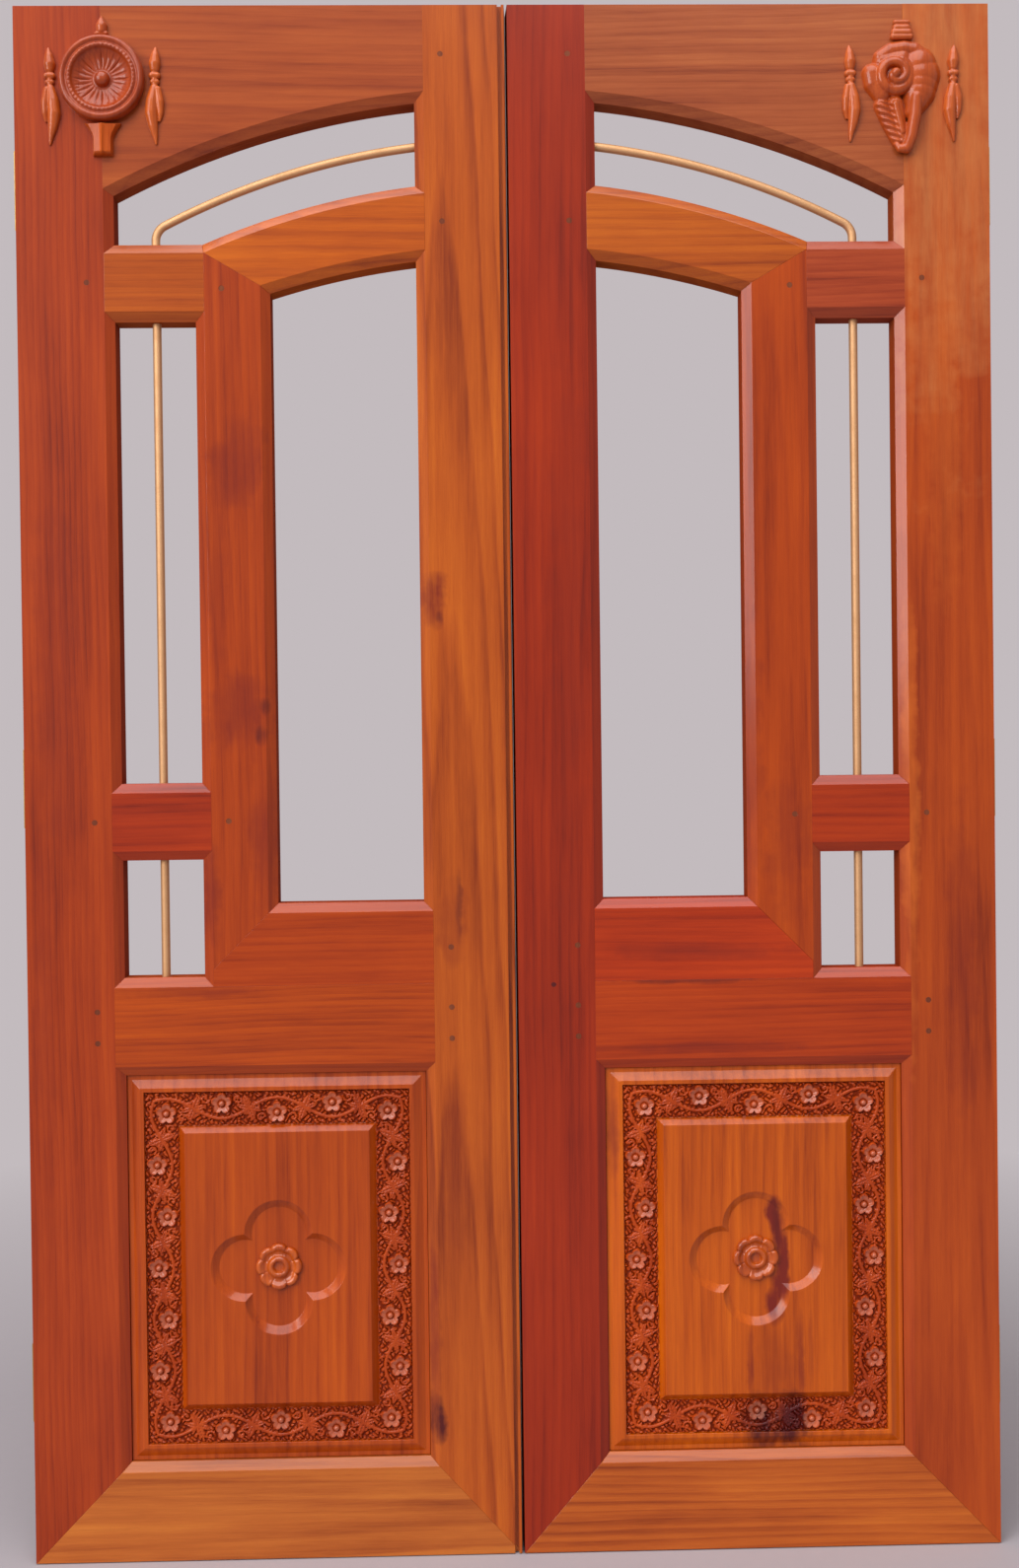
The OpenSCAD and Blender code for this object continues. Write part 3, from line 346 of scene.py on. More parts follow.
marks_of = {
    "left_meeting_stile": ((-100, 1228, 22, 42, 0.9, plum), (-90, 1204, 7, 9, 0.5, soot),
                           # The long narrow mark at x -108 darkens the stile's edge beside the panel: painted
                           # shade along its moulding.
                           (-106, 180, 14, 42, 1.3, soot), (-108, 300, 9, 150, 0.6, plum),
                           (-80, 815, 22, 66, 0.5, plum), (-70, 838, 5, 52, 0.6, soot),
                           (-78, 500, 22, 130, 0.22, plum)),
    "left_mullion": ((-345, 1398, 44, 66, 0.65, plum), (-346, 1082, 50, 64, 0.7, plum),
                     (-316, 930, 26, 110, 0.55, plum), (-385, 850, 16, 60, 0.7, plum),
                     (-312, 1092, 9, 13, 0.8, soot), (-318, 1054, 10, 15, 0.8, soot),
                     (-372, 1230, 14, 120, 0.3, plum)),
    "right_hinge_stile": ((512, 940, 12, 330, 0.75, amber), (560, 1450, 30, 220, 0.35, amber),
                          # The broad honey mark over the top of the right hinge stile is painted light: the
                          # stile is painted paler towards its top.
                          (570, 1850, 130, 430, 0.42, honey),
                          (575, 760, 26, 210, 0.4, plum)),
    "right_meeting_stile": ((50, 731, 4, 3.4, 3.0, soot), (75, 1180, 30, 420, 0.3, plum)),
    "right_mullion": ((306, 1060, 20, 210, 0.5, plum), (352, 930, 34, 120, 0.45, plum),
                      (292, 900, 12, 110, 0.6, plum), (290, 1220, 8, 130, 0.6, plum)),
    "left_hinge_stile": ((-575, 1130, 34, 300, 0.35, plum), (-600, 700, 16, 260, 0.3, plum)),
    "right_lock_rail": ((215, 735, 110, 7, 0.8, soot), (240, 648, 150, 9, 0.5, plum)),
    "left_lock_rail": ((-420, 728, 120, 8, 0.5, plum),),
    "right_sill_rail": ((230, 772, 130, 14, 0.5, plum),),
}
print(len(tones), "boards to finish")


# %% Eased boards
left_edge_x, right_edge_x, meeting_bevel = 1.5, 3.5, 0.9
arris, bare_shaded_slope = 0.8, 0.35


def eased_board(node, order):
    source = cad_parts[node]
    board = bpy.data.objects.new(node + "_board", source.data.copy())
    bpy.context.scene.collection.objects.link(board)
    board.data.name = board.name
    take(board)
    bpy.ops.object.mode_set(mode="EDIT")
    bpy.ops.mesh.select_all(action="SELECT")
    bpy.ops.mesh.remove_doubles(threshold=0.01 * mm)
    bpy.ops.mesh.dissolve_limited(angle_limit=math.radians(0.4))
    bpy.ops.object.mode_set(mode="OBJECT")
    spots = points_of(board)
    for edge, way in ((left_edge_x, 1), (right_edge_x, -1)):
        slant = way * meeting_bevel * spots[:, 1] / -face_y
        spots[:, 0] += np.where(np.abs(spots[:, 0] - edge) < 0.02, slant, 0)
    press(board, spots)
    ease(board, arris, 2, 28)
    # Faces that look sideways, up or down are painted darker as shade and left without varnish.
    slopes = np.empty(len(board.data.polygons) * 3)
    board.data.polygons.foreach_get("normal", slopes)
    bare = board.data.attributes.new("bare", "FLOAT", "FACE")
    bare.data.foreach_set("value", (np.abs(slopes[1::3]) < bare_shaded_slope).astype(float))
    upright = "stile" in node or "mullion" in node
    pith = pith_of.get(node, (0.3 + 0.27 * order, 0.045))
    finish = teak(node + "_teak", tint(*tones[node]), upright, pith, spacing=8.0 + order % 4,
                  slant=0.012 + 0.003 * (order % 3), seed=order * 5.3, figure=figure_of.get(node, 1.0),
                  marks=marks_of.get(node, ()), edges=True)
    board.data.materials.clear()
    board.data.materials.append(finish)
    place(board, node.split("_")[0] + "_leaf", "teak_stile" if upright else "teak_rail", node)


for order, node in enumerate(tones):
    eased_board(node, order)

# %% [markdown]
# ## The panel board
# The panel is one wide board let into a groove all round. From the outside in it has a ledge, a slope, a
# plain fillet, a sunk band for the carving and a raised field. A plane that is inset again and again, moving
# forward or back at each step, follows that section exactly and mitres its own corners.

# %% Panel board
panel_x, panel_z, panel_w, panel_h = -306.5, 374.0, 383.0, 496.0
# The section's levels, and its widths from the outside in.
tongue_y, ledge_y, fillet_y, ground_y, field_y, hollow_y = -1.0, -8.0, -14.0, -9.0, -18.0, -11.0
tongue_w, ledge_w, slope_w, fillet_w, band_w, field_slope_w = 10.4, 5.6, 11.0, 5.0, 44.0, 8.0
tongue_lap, tongue_thick = 10.0, 10.0
upright_turn = (math.pi / 2, 0, 0)
start_fresh()
bpy.ops.mesh.primitive_plane_add(size=mm, location=(panel_x * mm, tongue_y * mm, panel_z * mm),
                                 rotation=upright_turn)
panel = bpy.context.object
panel.scale = (panel_w + 2 * tongue_lap, panel_h + 2 * tongue_lap, 1)
panel = settle("left_panel_board")
bpy.ops.object.mode_set(mode="EDIT")
bpy.ops.mesh.select_all(action="SELECT")


def step_in(width):
    bpy.ops.mesh.inset(thickness=width * mm, depth=0)


def step_forward(travel):
    bpy.ops.mesh.extrude_region_move(TRANSFORM_OT_translate={"value": (0, -travel * mm, 0)})


def slope_in(width, travel):
    bpy.ops.mesh.inset(thickness=width * mm, depth=travel * mm)


step_in(tongue_w)
step_forward(tongue_y - ledge_y)
step_in(ledge_w)
slope_in(slope_w, ledge_y - fillet_y)
step_in(fillet_w)
step_forward(fillet_y - ground_y)
step_in(band_w)
slope_in(field_slope_w, ground_y - field_y)
bpy.ops.mesh.select_all(action="SELECT")
bpy.ops.mesh.region_to_loop()
bpy.ops.mesh.extrude_edges_move(TRANSFORM_OT_translate={"value": (0, tongue_thick * mm, 0)})
bpy.ops.mesh.edge_face_add()
bpy.ops.object.mode_set(mode="OBJECT")
close_up(panel)
print("panel board", len(panel.data.polygons), "faces")

# %% [markdown]
# The four-lobed hollow is sunk with one cutter. It is a disc whose rim is pulled out to four lobes, then
# drawn forward while it grows, so that its side slopes as the gouge left it.

# %% Quatrefoil hollow
lobe_r, lobe_off, hollow_slope, cutter_reach = 44.5, 42.0, 10.0, 14.0


def lobed(turn, radius):
    aside = (turn + math.pi / 4) % (math.pi / 2) - math.pi / 4
    return lobe_off * np.cos(aside) + np.sqrt(radius ** 2 - (lobe_off * np.sin(aside)) ** 2)


start_fresh()
bpy.ops.mesh.primitive_circle_add(vertices=320, radius=mm, fill_type="NGON", rotation=upright_turn,
                                  location=(panel_x * mm, hollow_y * mm, panel_z * mm))
cutter = settle("lobe_cutter")
bpy.ops.object.mode_set(mode="EDIT")
bpy.ops.mesh.select_all(action="SELECT")
bpy.ops.mesh.extrude_region_move(TRANSFORM_OT_translate={"value": (0, -cutter_reach * mm, 0)})
bpy.ops.object.mode_set(mode="OBJECT")
spots = points_of(cutter)
turn = np.arctan2(spots[:, 2] - panel_z, spots[:, 0] - panel_x)
rim = lobed(turn, np.where(spots[:, 1] > hollow_y - 1, lobe_r - hollow_slope, lobe_r + hollow_slope))
spots[:, 0], spots[:, 2] = panel_x + rim * np.cos(turn), panel_z + rim * np.sin(turn)
close_up(press(cutter, spots))
finish_with(panel, "BOOLEAN", object=cutter, operation="DIFFERENCE", solver="EXACT")
bpy.data.objects.remove(cutter)
ease(panel, 0.9, 3, 20)
right_panel = twin(panel, "right_panel_board", leaf_step)
print("hollow cut:", len(panel.data.polygons), "faces")

# %% Panel finish
panel_pith = 420
panel_marks = ((329, 430, 12, 28, 1.4, plum), (337, 404, 12, 32, 1.5, plum), (343, 368, 9, 40, 1.5, plum),
               (338, 338, 11, 28, 1.5, plum), (330, 312, 14, 26, 1.4, plum), (334, 410, 7, 34, 0.6, soot),
               (312, 157, 26, 46, 1.1, soot), (350, 157, 28, 46, 1.6, soot), (298, 238, 5, 62, 0.8, plum),
               (363, 250, 6, 72, 0.6, plum), (376, 250, 4, 62, 0.4, plum), (330, 225, 38, 64, 0.35, plum),
               (124, 540, 10, 90, 0.6, plum))
for piece, tone, side, seed, marks in ((panel, (180, 72, 4), "left", 3.7, ()),
                                       (right_panel, (199, 89, 4), "right", 41.2, panel_marks)):
    centre = panel_x if side == "left" else panel_x + leaf_step
    pith = ((centre + panel_pith) * mm, 0.03)
    piece.data.materials.append(teak(side + "_panel_teak", tint(*tone), True, pith, 13.0, 0.006, seed,
                                     marks=marks))
    place(piece, side + "_leaf", "teak_panel", side + "_carved_panel")

# %% [markdown]
# ## The carved border
# Twenty five-petalled flowers stand in the sunk band, in and out by turns, with a vine that swings past them,
# veined leaves where it crosses the middle, curls and seeds between, and a punched ground. Carving like this
# has no straight face to extrude, so a fine grid is laid in the band and each of its points is raised by a
# rule. The same rule says how deep a point lies, and the finish paints those hollows dark as shade. The petals
# stand highest and are painted paler as a highlight.

# %% Shapes of the carving
band_half = np.array([(169.5, 226.0), (125.5, 182.0)])
line_x, line_z = 147.5, 204.0
half_x, half_z = 141.5, 198.0
pitch_x, pitch_z, weave = 70.75, 66.0, 6.0
eye_r = 3.5
flower_spots = []
for i in range(5):
    out = weave if i % 2 else -weave
    flower_spots += [(half_x - pitch_x * i, s * (line_z + out)) for s in (-1, 1)]
for i in range(1, 6):
    out = weave if i % 2 else -weave
    flower_spots += [(s * (line_x + out), half_z - pitch_z * i) for s in (-1, 1)]


def eased(t):
    t = np.clip(t, 0, 1)
    return t * t * (3 - 2 * t)


def dome(t):
    return np.sqrt(np.clip(1 - t ** 2, 0, 1))


def flower(dx, dz):
    r = np.hypot(dx, dz)
    turn = np.arctan2(dx, dz)
    lobe = np.abs(np.cos(2.5 * turn))
    t = r / (8.6 + 5.0 * lobe ** 0.75)
    bowl = 1.3 + 4.3 * np.minimum(t, 1) ** 1.7 - 1.5 * (1 - lobe) ** 2 * np.minimum(t, 1)
    vein = (turn / (2 * math.pi / 5) + 10.5) % 1 - 0.5
    bowl -= 0.5 * np.exp(-(vein * r * 1.25 / 0.7) ** 2) * eased(r / 6)
    bowl -= 0.9 * np.exp(-((r - 4.4) / 0.8) ** 2)
    eye = 3.4 + 3.0 * dome(r / eye_r)
    return np.where(r < eye_r, eye, bowl * eased((1.10 - t) / 0.16))


def leaf(u, v, length, half):
    t = np.clip(u / length, 0, 1)
    edge = half * np.sin(math.pi * t ** 0.8) * (0.86 + 0.2 * np.abs(np.sin(4.5 * math.pi * t))) + 0.05
    side = np.abs(v) / edge
    body = 1.7 + 2.5 * dome(side) - 1.5 * np.exp(-(v / 0.75) ** 2)
    body -= 0.8 * (0.5 + 0.5 * np.cos(2 * math.pi * (5 * t - 1.1 * side)))
    return np.where((u > 0) & (u < length), body * eased((1.12 - side) / 0.25), 0)


def curl(da, db, radius, spin):
    r = np.hypot(da, db)
    turn = np.arctan2(db, da) * spin / (2 * math.pi)
    arm = radius * (0.25 + 0.75 * (turn % 1))
    ridge = np.maximum(dome((r - arm) / 1.5), dome(r / 2.0))
    return 3.3 * ridge * eased((radius + 2 - r) / 1.5)


print(len(flower_spots), "flowers")


# %% Relief of the band
vine_swing, vine_half, sprig_pitch, seed_lift = 13.0, 2.4, 8.6, 3.0
# The six leaves of a spray: their turn, length, half width, how far they start back and how far along.
spray = ((68, 20, 5.2, 1.5, 0), (248, 20, 5.2, 1.5, 0), (20, 15, 3.6, 5, 9),
         (200, 15, 3.6, 5, -9), (112, 13, 3.2, 6, -7), (292, 13, 3.2, 6, 7))


def punched(x, z):
    fold_x = x + 2.1 * np.sin(0.31 * z + 0.8 * np.sin(0.19 * x))
    fold_z = z + 2.1 * np.sin(0.27 * x + 0.9 * np.sin(0.23 * z))
    sprig = np.abs(np.sin(math.pi * (fold_x + fold_z) / sprig_pitch)
                   * np.sin(math.pi * (fold_x - fold_z) / sprig_pitch))
    return 3.0 * eased((sprig - 0.22) / 0.5) - 0.7 * np.exp(-((1 - sprig) / 0.10) ** 2)


def relief(x, z):
    ax, az = np.abs(x), np.abs(z)
    level = az - line_z > ax - line_x
    b = np.where(level, az - line_z, ax - line_x)
    a = np.where(level, ax, az)
    half, pitch = np.where(level, half_x, half_z), np.where(level, pitch_x, pitch_z)
    k = (half - a) / pitch    # a and b lie along and across the band, and k counts its flowers
    h = punched(x, z)
    swing = vine_swing * np.cos(math.pi * k)
    lean = vine_swing * math.pi / pitch * np.sin(math.pi * k)
    off = np.abs(b - swing) / np.sqrt(1 + lean ** 2)
    h = np.maximum(h, 3.7 * dome(off / vine_half) - 0.5 * np.exp(-(off / 0.5) ** 2))
    for i in range(-1, 4):
        way = 1 if i % 2 == 0 else -1
        da = (k - i - 0.5) * pitch
        for turn, long, wide, back, push in spray:
            c, s = math.cos(math.radians(turn)), math.sin(math.radians(turn)) * way
            u, v = (da - push * 0.5) * c + b * s + back * 0.4, -(da - push * 0.5) * s + b * c
            h = np.maximum(h, leaf(u, v, long, wide))
        for at, side in ((-0.21, -1), (0.21, 1)):
            h = np.maximum(h, curl(da - at * pitch, b - side * way * 12.5, 6.2, side * way))
            for further, out, seed_r in ((1.55, 18.3, 2.6), (0.9, 17.0, 2.2)):
                seed = np.hypot(da - at * further * pitch, b + side * way * out)
                h = np.maximum(h, seed_lift * dome(seed / seed_r))
    for fx, fz in flower_spots:
        near = np.hypot(x - fx, z - fz) < 16.5
        round_it = np.hypot(x[near] - fx, z[near] - fz)
        moat = np.minimum(h[near], 0.1 + 9 * np.clip(round_it - 14.2, 0, 1))
        h[near] = np.where(round_it < 15.2, moat, h[near])
        h[near] = np.maximum(h[near], flower(x[near] - fx, z[near] - fz))
    inside = np.minimum(np.minimum(band_half[0][0] - ax, band_half[0][1] - az),
                        np.maximum(ax - band_half[1][0], az - band_half[1][1]))
    rim = eased(inside / 1.6)
    return h * rim + 0.2 - 0.8 * (1 - rim)


# %% Carved border
start_fresh()
grid_w, grid_h, inner_x, inner_z = 339.6, 452.8, 124.6, 181.1
hollow_shade_level, petal_reach = 2.3, 13.0
bpy.ops.mesh.primitive_grid_add(x_subdivisions=378, y_subdivisions=504, size=mm, rotation=upright_turn,
                                location=(panel_x * mm, ground_y * mm, panel_z * mm))
border = bpy.context.object
border.scale = (grid_w, grid_h, 1)
border = settle("left_panel_border")
middles = np.empty(len(border.data.polygons) * 3)
border.data.polygons.foreach_get("center", middles)
middles = middles.reshape(-1, 3) / mm - (panel_x, 0, panel_z)
inner = (np.abs(middles[:, 0]) < inner_x) & (np.abs(middles[:, 2]) < inner_z)
bpy.ops.object.mode_set(mode="EDIT")
bpy.ops.mesh.select_mode(type="FACE")
bpy.ops.mesh.select_all(action="DESELECT")
bpy.ops.object.mode_set(mode="OBJECT")
border.data.polygons.foreach_set("select", inner)
bpy.ops.object.mode_set(mode="EDIT")
bpy.ops.mesh.delete(type="FACE")
bpy.ops.object.mode_set(mode="OBJECT")
spots = points_of(border)
heights = relief(spots[:, 0] - panel_x, spots[:, 2] - panel_z)
spots[:, 1] = ground_y - heights
press(border, spots)
# Painted shade: the lower a point lies in the carving, the more of it is painted dark as shade.
hollow_shade = border.data.attributes.new("hollow", "FLOAT", "POINT")
hollow_shade.data.foreach_set("value", np.clip(1 - heights / hollow_shade_level, 0, 1) ** 1.2)
# Painted highlight: the raised petals of each flower are painted paler.
rubbed = np.zeros(len(spots))
for fx, fz in flower_spots:
    reach = np.hypot(spots[:, 0] - panel_x - fx, spots[:, 2] - panel_z - fz)
    rubbed = np.maximum(rubbed, eased((petal_reach - reach) / 3.5) * eased((heights - 1.6) / 1.6))
border.data.attributes.new("rubbed", "FLOAT", "POINT").data.foreach_set("value", rubbed)
smooth(border, 60)
right_border = twin(border, "right_panel_border", leaf_step)
for piece, tone, side, seed, marks in ((border, (176, 66, 18), "left", 9.1, ()),
                                       (right_border, (182, 68, 16), "right", 52.4, panel_marks)):
    piece.data.materials.append(teak(side + "_border_teak", tint(*tone), True, (0.2, 0.05), 13.0, 0.006, seed,
                                     0.6, marks=marks, hollow=True))
    place(piece, side + "_leaf", "teak_carving", side + "_carved_panel")

# %% [markdown]
# ## Turned pieces
# The rosette and the discus are turned on a lathe before they are carved. A circle is drawn out ring by ring
# along a section, which is what a lathe tool does, and the petals are then cut by pressing the rings.

# %% Turning
def turned(name, section, centre, base_y, count=128):
    start_fresh()
    cx, cz = centre
    first = section[0]
    bpy.ops.mesh.primitive_circle_add(vertices=count, radius=first[0] * mm, fill_type="NGON",
                                      location=(cx * mm, (base_y - first[1]) * mm, cz * mm),
                                      rotation=upright_turn)
    settle(name)
    bpy.ops.object.mode_set(mode="EDIT")
    bpy.ops.mesh.select_all(action="SELECT")
    bpy.ops.mesh.region_to_loop()
    radius, height = first
    for r, h in section[1:]:
        bpy.ops.mesh.extrude_edges_move(TRANSFORM_OT_translate={"value": (0, (height - h) * mm, 0)})
        bpy.ops.transform.resize(value=(r / radius, 1, r / radius), center_override=(cx * mm, 0, cz * mm))
        radius, height = r, h
    bpy.ops.mesh.merge(type="CENTER")
    bpy.ops.object.mode_set(mode="OBJECT")
    return close_up(bpy.context.object)


def around(points, centre):
    dx, dz = points[:, 0] - centre[0], points[:, 2] - centre[1]
    return np.hypot(dx, dz), np.arctan2(dx, dz)


# %% [markdown]
# The rosette has a rolled rim, eight dished petals, a collar and a deep eye. It sits on the hollow's floor.

# %% Rosettes
rosette_petals = 8
rosette_section = ((27.6, 0), (28.4, 1.5), (28.6, 3.2), (27.9, 5.0), (26.6, 6.3), (24.8, 6.9), (23.0, 6.5),
                   (21.4, 5.2), (19.6, 3.6), (17.6, 2.6), (15.8, 2.7), (14.4, 3.9), (13.3, 5.7), (12.0, 7.3),
                   (10.4, 7.9), (8.9, 7.6), (7.7, 6.6), (6.9, 5.0), (6.4, 2.6), (5.6, 1.6), (0.4, 1.5))
rosette = turned("left_rosette_flower", rosette_section, (panel_x, panel_z), hollow_y, 192)
spots = points_of(rosette)
r, turn = around(spots, (panel_x, panel_z))
petal = np.cos(rosette_petals * turn)
between = np.abs(np.cos(rosette_petals / 2 * turn))
outer = eased((r - 13.5) / 9)
raised = eased((hollow_y - spots[:, 1]) / 2.5)
grow = 1 + 0.06 * (between ** 0.6 - 0.72) * 2 * outer
spots[:, 0] = panel_x + (spots[:, 0] - panel_x) * grow
spots[:, 2] = panel_z + (spots[:, 2] - panel_z) * grow
crease = np.exp(-((between / 0.24) ** 2))
spots[:, 1] += (1.7 * crease + 0.35 * (0.5 - 0.5 * petal)) * outer * raised
press(rosette, spots)
smooth(rosette, 50)
right_rosette = twin(rosette, "right_rosette_flower", leaf_step)
for piece, side in ((rosette, "left"), (right_rosette, "right")):
    piece.data.materials.append(teak(side + "_rosette_teak", tint(192, 84, 18), True, (0.0, 0.2), 6.0, 0.02,
                                     seed=31.0 + len(side), figure=0.7, gloss=1.0))
    place(piece, side + "_leaf", "teak_carving", side + "_rosette")

# %% [markdown]
# ## The discus
# On the left leaf stands a discus: two rolled rims, a dish cut into narrow petals and a round hub. All the
# pieces of the two emblems are small carvings in one kind of wood, and each has its own tone and seed.

# %% Discus
def carved_teak(name, tone, spacing, seed, gloss=0.6):
    return teak(name, tint(*tone), True, (0.1, 0.1), spacing, 0.01, seed, 0.6, gloss=gloss)


discus_at, dish_petals, rim_beads = (-emblem_x, emblem_z), 24, 48
discus_section = ((53.2, 0), (53.8, 1.5), (54, 4), (54, 8), (53.6, 10.8), (52.6, 13.2), (51, 14.8), (49, 15.4),
                  (47.2, 14.9), (46, 13.7), (45, 12.8), (44, 12.9), (43, 13.9), (41.8, 14.8), (40.2, 15.0),
                  (38.8, 14.2), (37.8, 12.6), (36.8, 10.6), (35.4, 8.9), (33.4, 7.4), (31, 6.2), (28, 5.1),
                  (25, 4.4), (22, 3.9), (19, 3.5), (16, 3.2), (13.4, 3.0), (11.4, 3.0), (10.3, 3.3), (9.9, 4.6),
                  (9.6, 6.4), (8.9, 8.4), (7.6, 10.2), (5.8, 11.6), (3.6, 12.5), (1.6, 12.8), (0.2, 12.9))
discus = turned("discus_wheel", discus_section, discus_at, face_y, 256)
spots = points_of(discus)
r, turn = around(spots, discus_at)
dished = eased((r - 13) / 6) * eased((37.5 - r) / 4)
flute = np.abs(np.sin(dish_petals / 2 * turn))
tip = np.abs(np.sin(dish_petals / 2 * turn + math.pi / 2)) * eased((r - 27) / 6) * eased((37.5 - r) / 3)
spots[:, 1] += (1.5 * (1 - flute ** 0.5) - 0.5) * dished - 0.9 * tip
rimmed = eased((r - 38.5) / 1.5) * eased((44 - r) / 1.5)
spots[:, 1] += 0.35 * np.cos(rim_beads * turn) * rimmed
press(discus, spots)
smooth(discus, 50)
discus.data.materials.append(carved_teak("discus_teak", (168, 66, 24), 7.0, 61.0))
place(discus, "left_leaf", "teak_carving", "discus")

# %% [markdown]
# The discus stands on a small foot: its sides curve in to a block, and a ridge runs down its middle. A grid
# is pressed to that outline, drawn back to the door's face and closed.

# %% Foot of the discus
foot_top, foot_w, foot_h = 56, 46, 40
block_half, waist_h = 12.5, 20
start_fresh()
bpy.ops.mesh.primitive_grid_add(x_subdivisions=24, y_subdivisions=24, size=mm, rotation=upright_turn,
                                location=(discus_at[0] * mm, face_y * mm,
                                          (emblem_z - (foot_top + foot_h / 2)) * mm))
bpy.context.object.scale = (foot_w, foot_h, 1)
foot = settle("discus_pedestal")
spots = points_of(foot)
down = emblem_z - foot_top - spots[:, 2]
flare = (foot_w / 2 - block_half) * (1 - np.clip(down, 0, waist_h) / waist_h) ** 1.5
half = np.where(down < waist_h, block_half + flare, block_half)
share = (spots[:, 0] - discus_at[0]) / (foot_w / 2)
spots[:, 0] = discus_at[0] + share * half
lip = eased((1 - np.abs(share)) / 0.16) * eased((40.2 - down) / 3) * eased((down + 0.2) / 2)
ridge = 8.2 + 3.0 * (1 - np.abs(share)) + 1.6 * np.exp(-(share / 0.12) ** 2)
spots[:, 1] = face_y - ridge * (0.55 + 0.45 * lip)
press(foot, spots)
bpy.ops.object.mode_set(mode="EDIT")
bpy.ops.mesh.select_all(action="SELECT")
bpy.ops.mesh.region_to_loop()
bpy.ops.mesh.extrude_edges_move(TRANSFORM_OT_translate={"value": (0, 0, 0)})
bpy.ops.transform.resize(value=(1, 0, 1), center_override=(0, face_y * mm, 0))
bpy.ops.mesh.edge_face_add()
bpy.ops.object.mode_set(mode="OBJECT")
close_up(foot)
smooth(foot, 40)
foot.data.materials.append(carved_teak("pedestal_teak", (190, 82, 22), 7.0, 67.0, gloss=0.25))
place(foot, "left_leaf", "teak_carving", "discus_foot")

# %% [markdown]
# ## Whittled pieces
# Flames, crown buds and the conch are rounded all over, so they are built like clay: balls are set along a
# line, each with its own radius and height, then skinned together, smoothed and sliced off flat where they
# lie against the door.

# %% Whittling
ball_step, large_ball = 0.17, 14


def whittled(name, chains, centre, grain=0.9, rounds=4):
    start_fresh()
    first = True
    for chain in chains:
        for (x0, z0, r0, h0), (x1, z1, r1, h1) in zip(chain, chain[1:]):
            count = max(2, round(math.hypot(x1 - x0, z1 - z0) / (ball_step * (r0 + r1))) + 1)
            for i in range(count):
                t = i / (count - 1)
                r, h = r0 + (r1 - r0) * t, h0 + (h1 - h0) * t
                at = ((centre[0] + x0 + (x1 - x0) * t) * mm, (face_y - h + r) * mm,
                      (centre[1] + z0 + (z1 - z0) * t) * mm)
                bpy.ops.mesh.primitive_ico_sphere_add(subdivisions=3 if r < large_ball else 4,
                                                      radius=r * mm, location=at)
                if first:
                    settle(name)
                    bpy.ops.object.mode_set(mode="EDIT")
                    first = False
    bpy.ops.object.mode_set(mode="OBJECT")
    piece = bpy.context.object
    piece.data.remesh_voxel_size = grain * mm
    bpy.ops.object.voxel_remesh()
    finish_with(piece, "SMOOTH", factor=0.5, iterations=rounds)
    return piece


def lay_flat(piece):
    take(piece)
    bpy.ops.object.mode_set(mode="EDIT")
    bpy.ops.mesh.select_all(action="SELECT")
    bpy.ops.mesh.bisect(plane_co=(0, face_y * mm, 0), plane_no=(0, 1, 0), use_fill=True, clear_outer=True)
    bpy.ops.object.mode_set(mode="OBJECT")
    return smooth(close_up(piece), 50)


# %% [markdown]
# A flame has a pointed bud, two beads and a leaf in two lobes that bows towards the emblem.

# %% Flames
flame_fill, flame_x = 1.14, 66


def flame_chains(at, bow):
    def chain(*balls):
        return [(at + bow * x, z, flame_fill * r, h) for x, z, r, h in balls]
    bud = chain((0, 13, 5.2, 7.5), (0, 20, 6.6, 9), (-0.6, 29, 5, 7.4), (-1.2, 36, 2.6, 4.6),
                (-1.4, 39.6, 1.2, 3))
    upper_bead = chain((-3.6, 4.6, 3.6, 7), (3.6, 4.6, 3.6, 7))
    lower_bead = chain((-2.6, -3.2, 3.2, 6), (2.6, -3.2, 3.2, 6))
    stem = chain((0.5, 12, 3, 6), (0, -12, 3.2, 6))
    long_lobe = chain((1, -12, 5, 7.6), (4, -27, 6.8, 9.6), (5, -42, 7.4, 10), (3, -58, 5.4, 7.6),
                      (0.4, -72, 2.8, 4.8), (-0.6, -81, 1.2, 3))
    short_lobe = chain((-3.4, -13, 4.2, 7.4), (-6, -28, 4.8, 8), (-6.6, -42, 3.4, 6), (-5.4, -52, 1.4, 3.4))
    return [bud, upper_bead, lower_bead, stem, long_lobe, short_lobe]


for emblem, at_x, side, tone in (("discus", -emblem_x, "left", (200, 92, 32)),
                                 ("conch", emblem_x, "right", (198, 92, 36))):
    pair = flame_chains(-flame_x, 1) + flame_chains(flame_x, -1)
    flames = whittled(emblem + "_side_flames", pair, (at_x, emblem_z), 0.8)
    lay_flat(flames)
    flames.data.materials.append(carved_teak(emblem + "_flames_teak", tone, 6.0, at_x))
    place(flames, side + "_leaf", "teak_carving", emblem + "_flames")

# %% [markdown]
# A crown stands over each emblem: a pointed bud on a collar over the discus, a stepped cap over the conch.

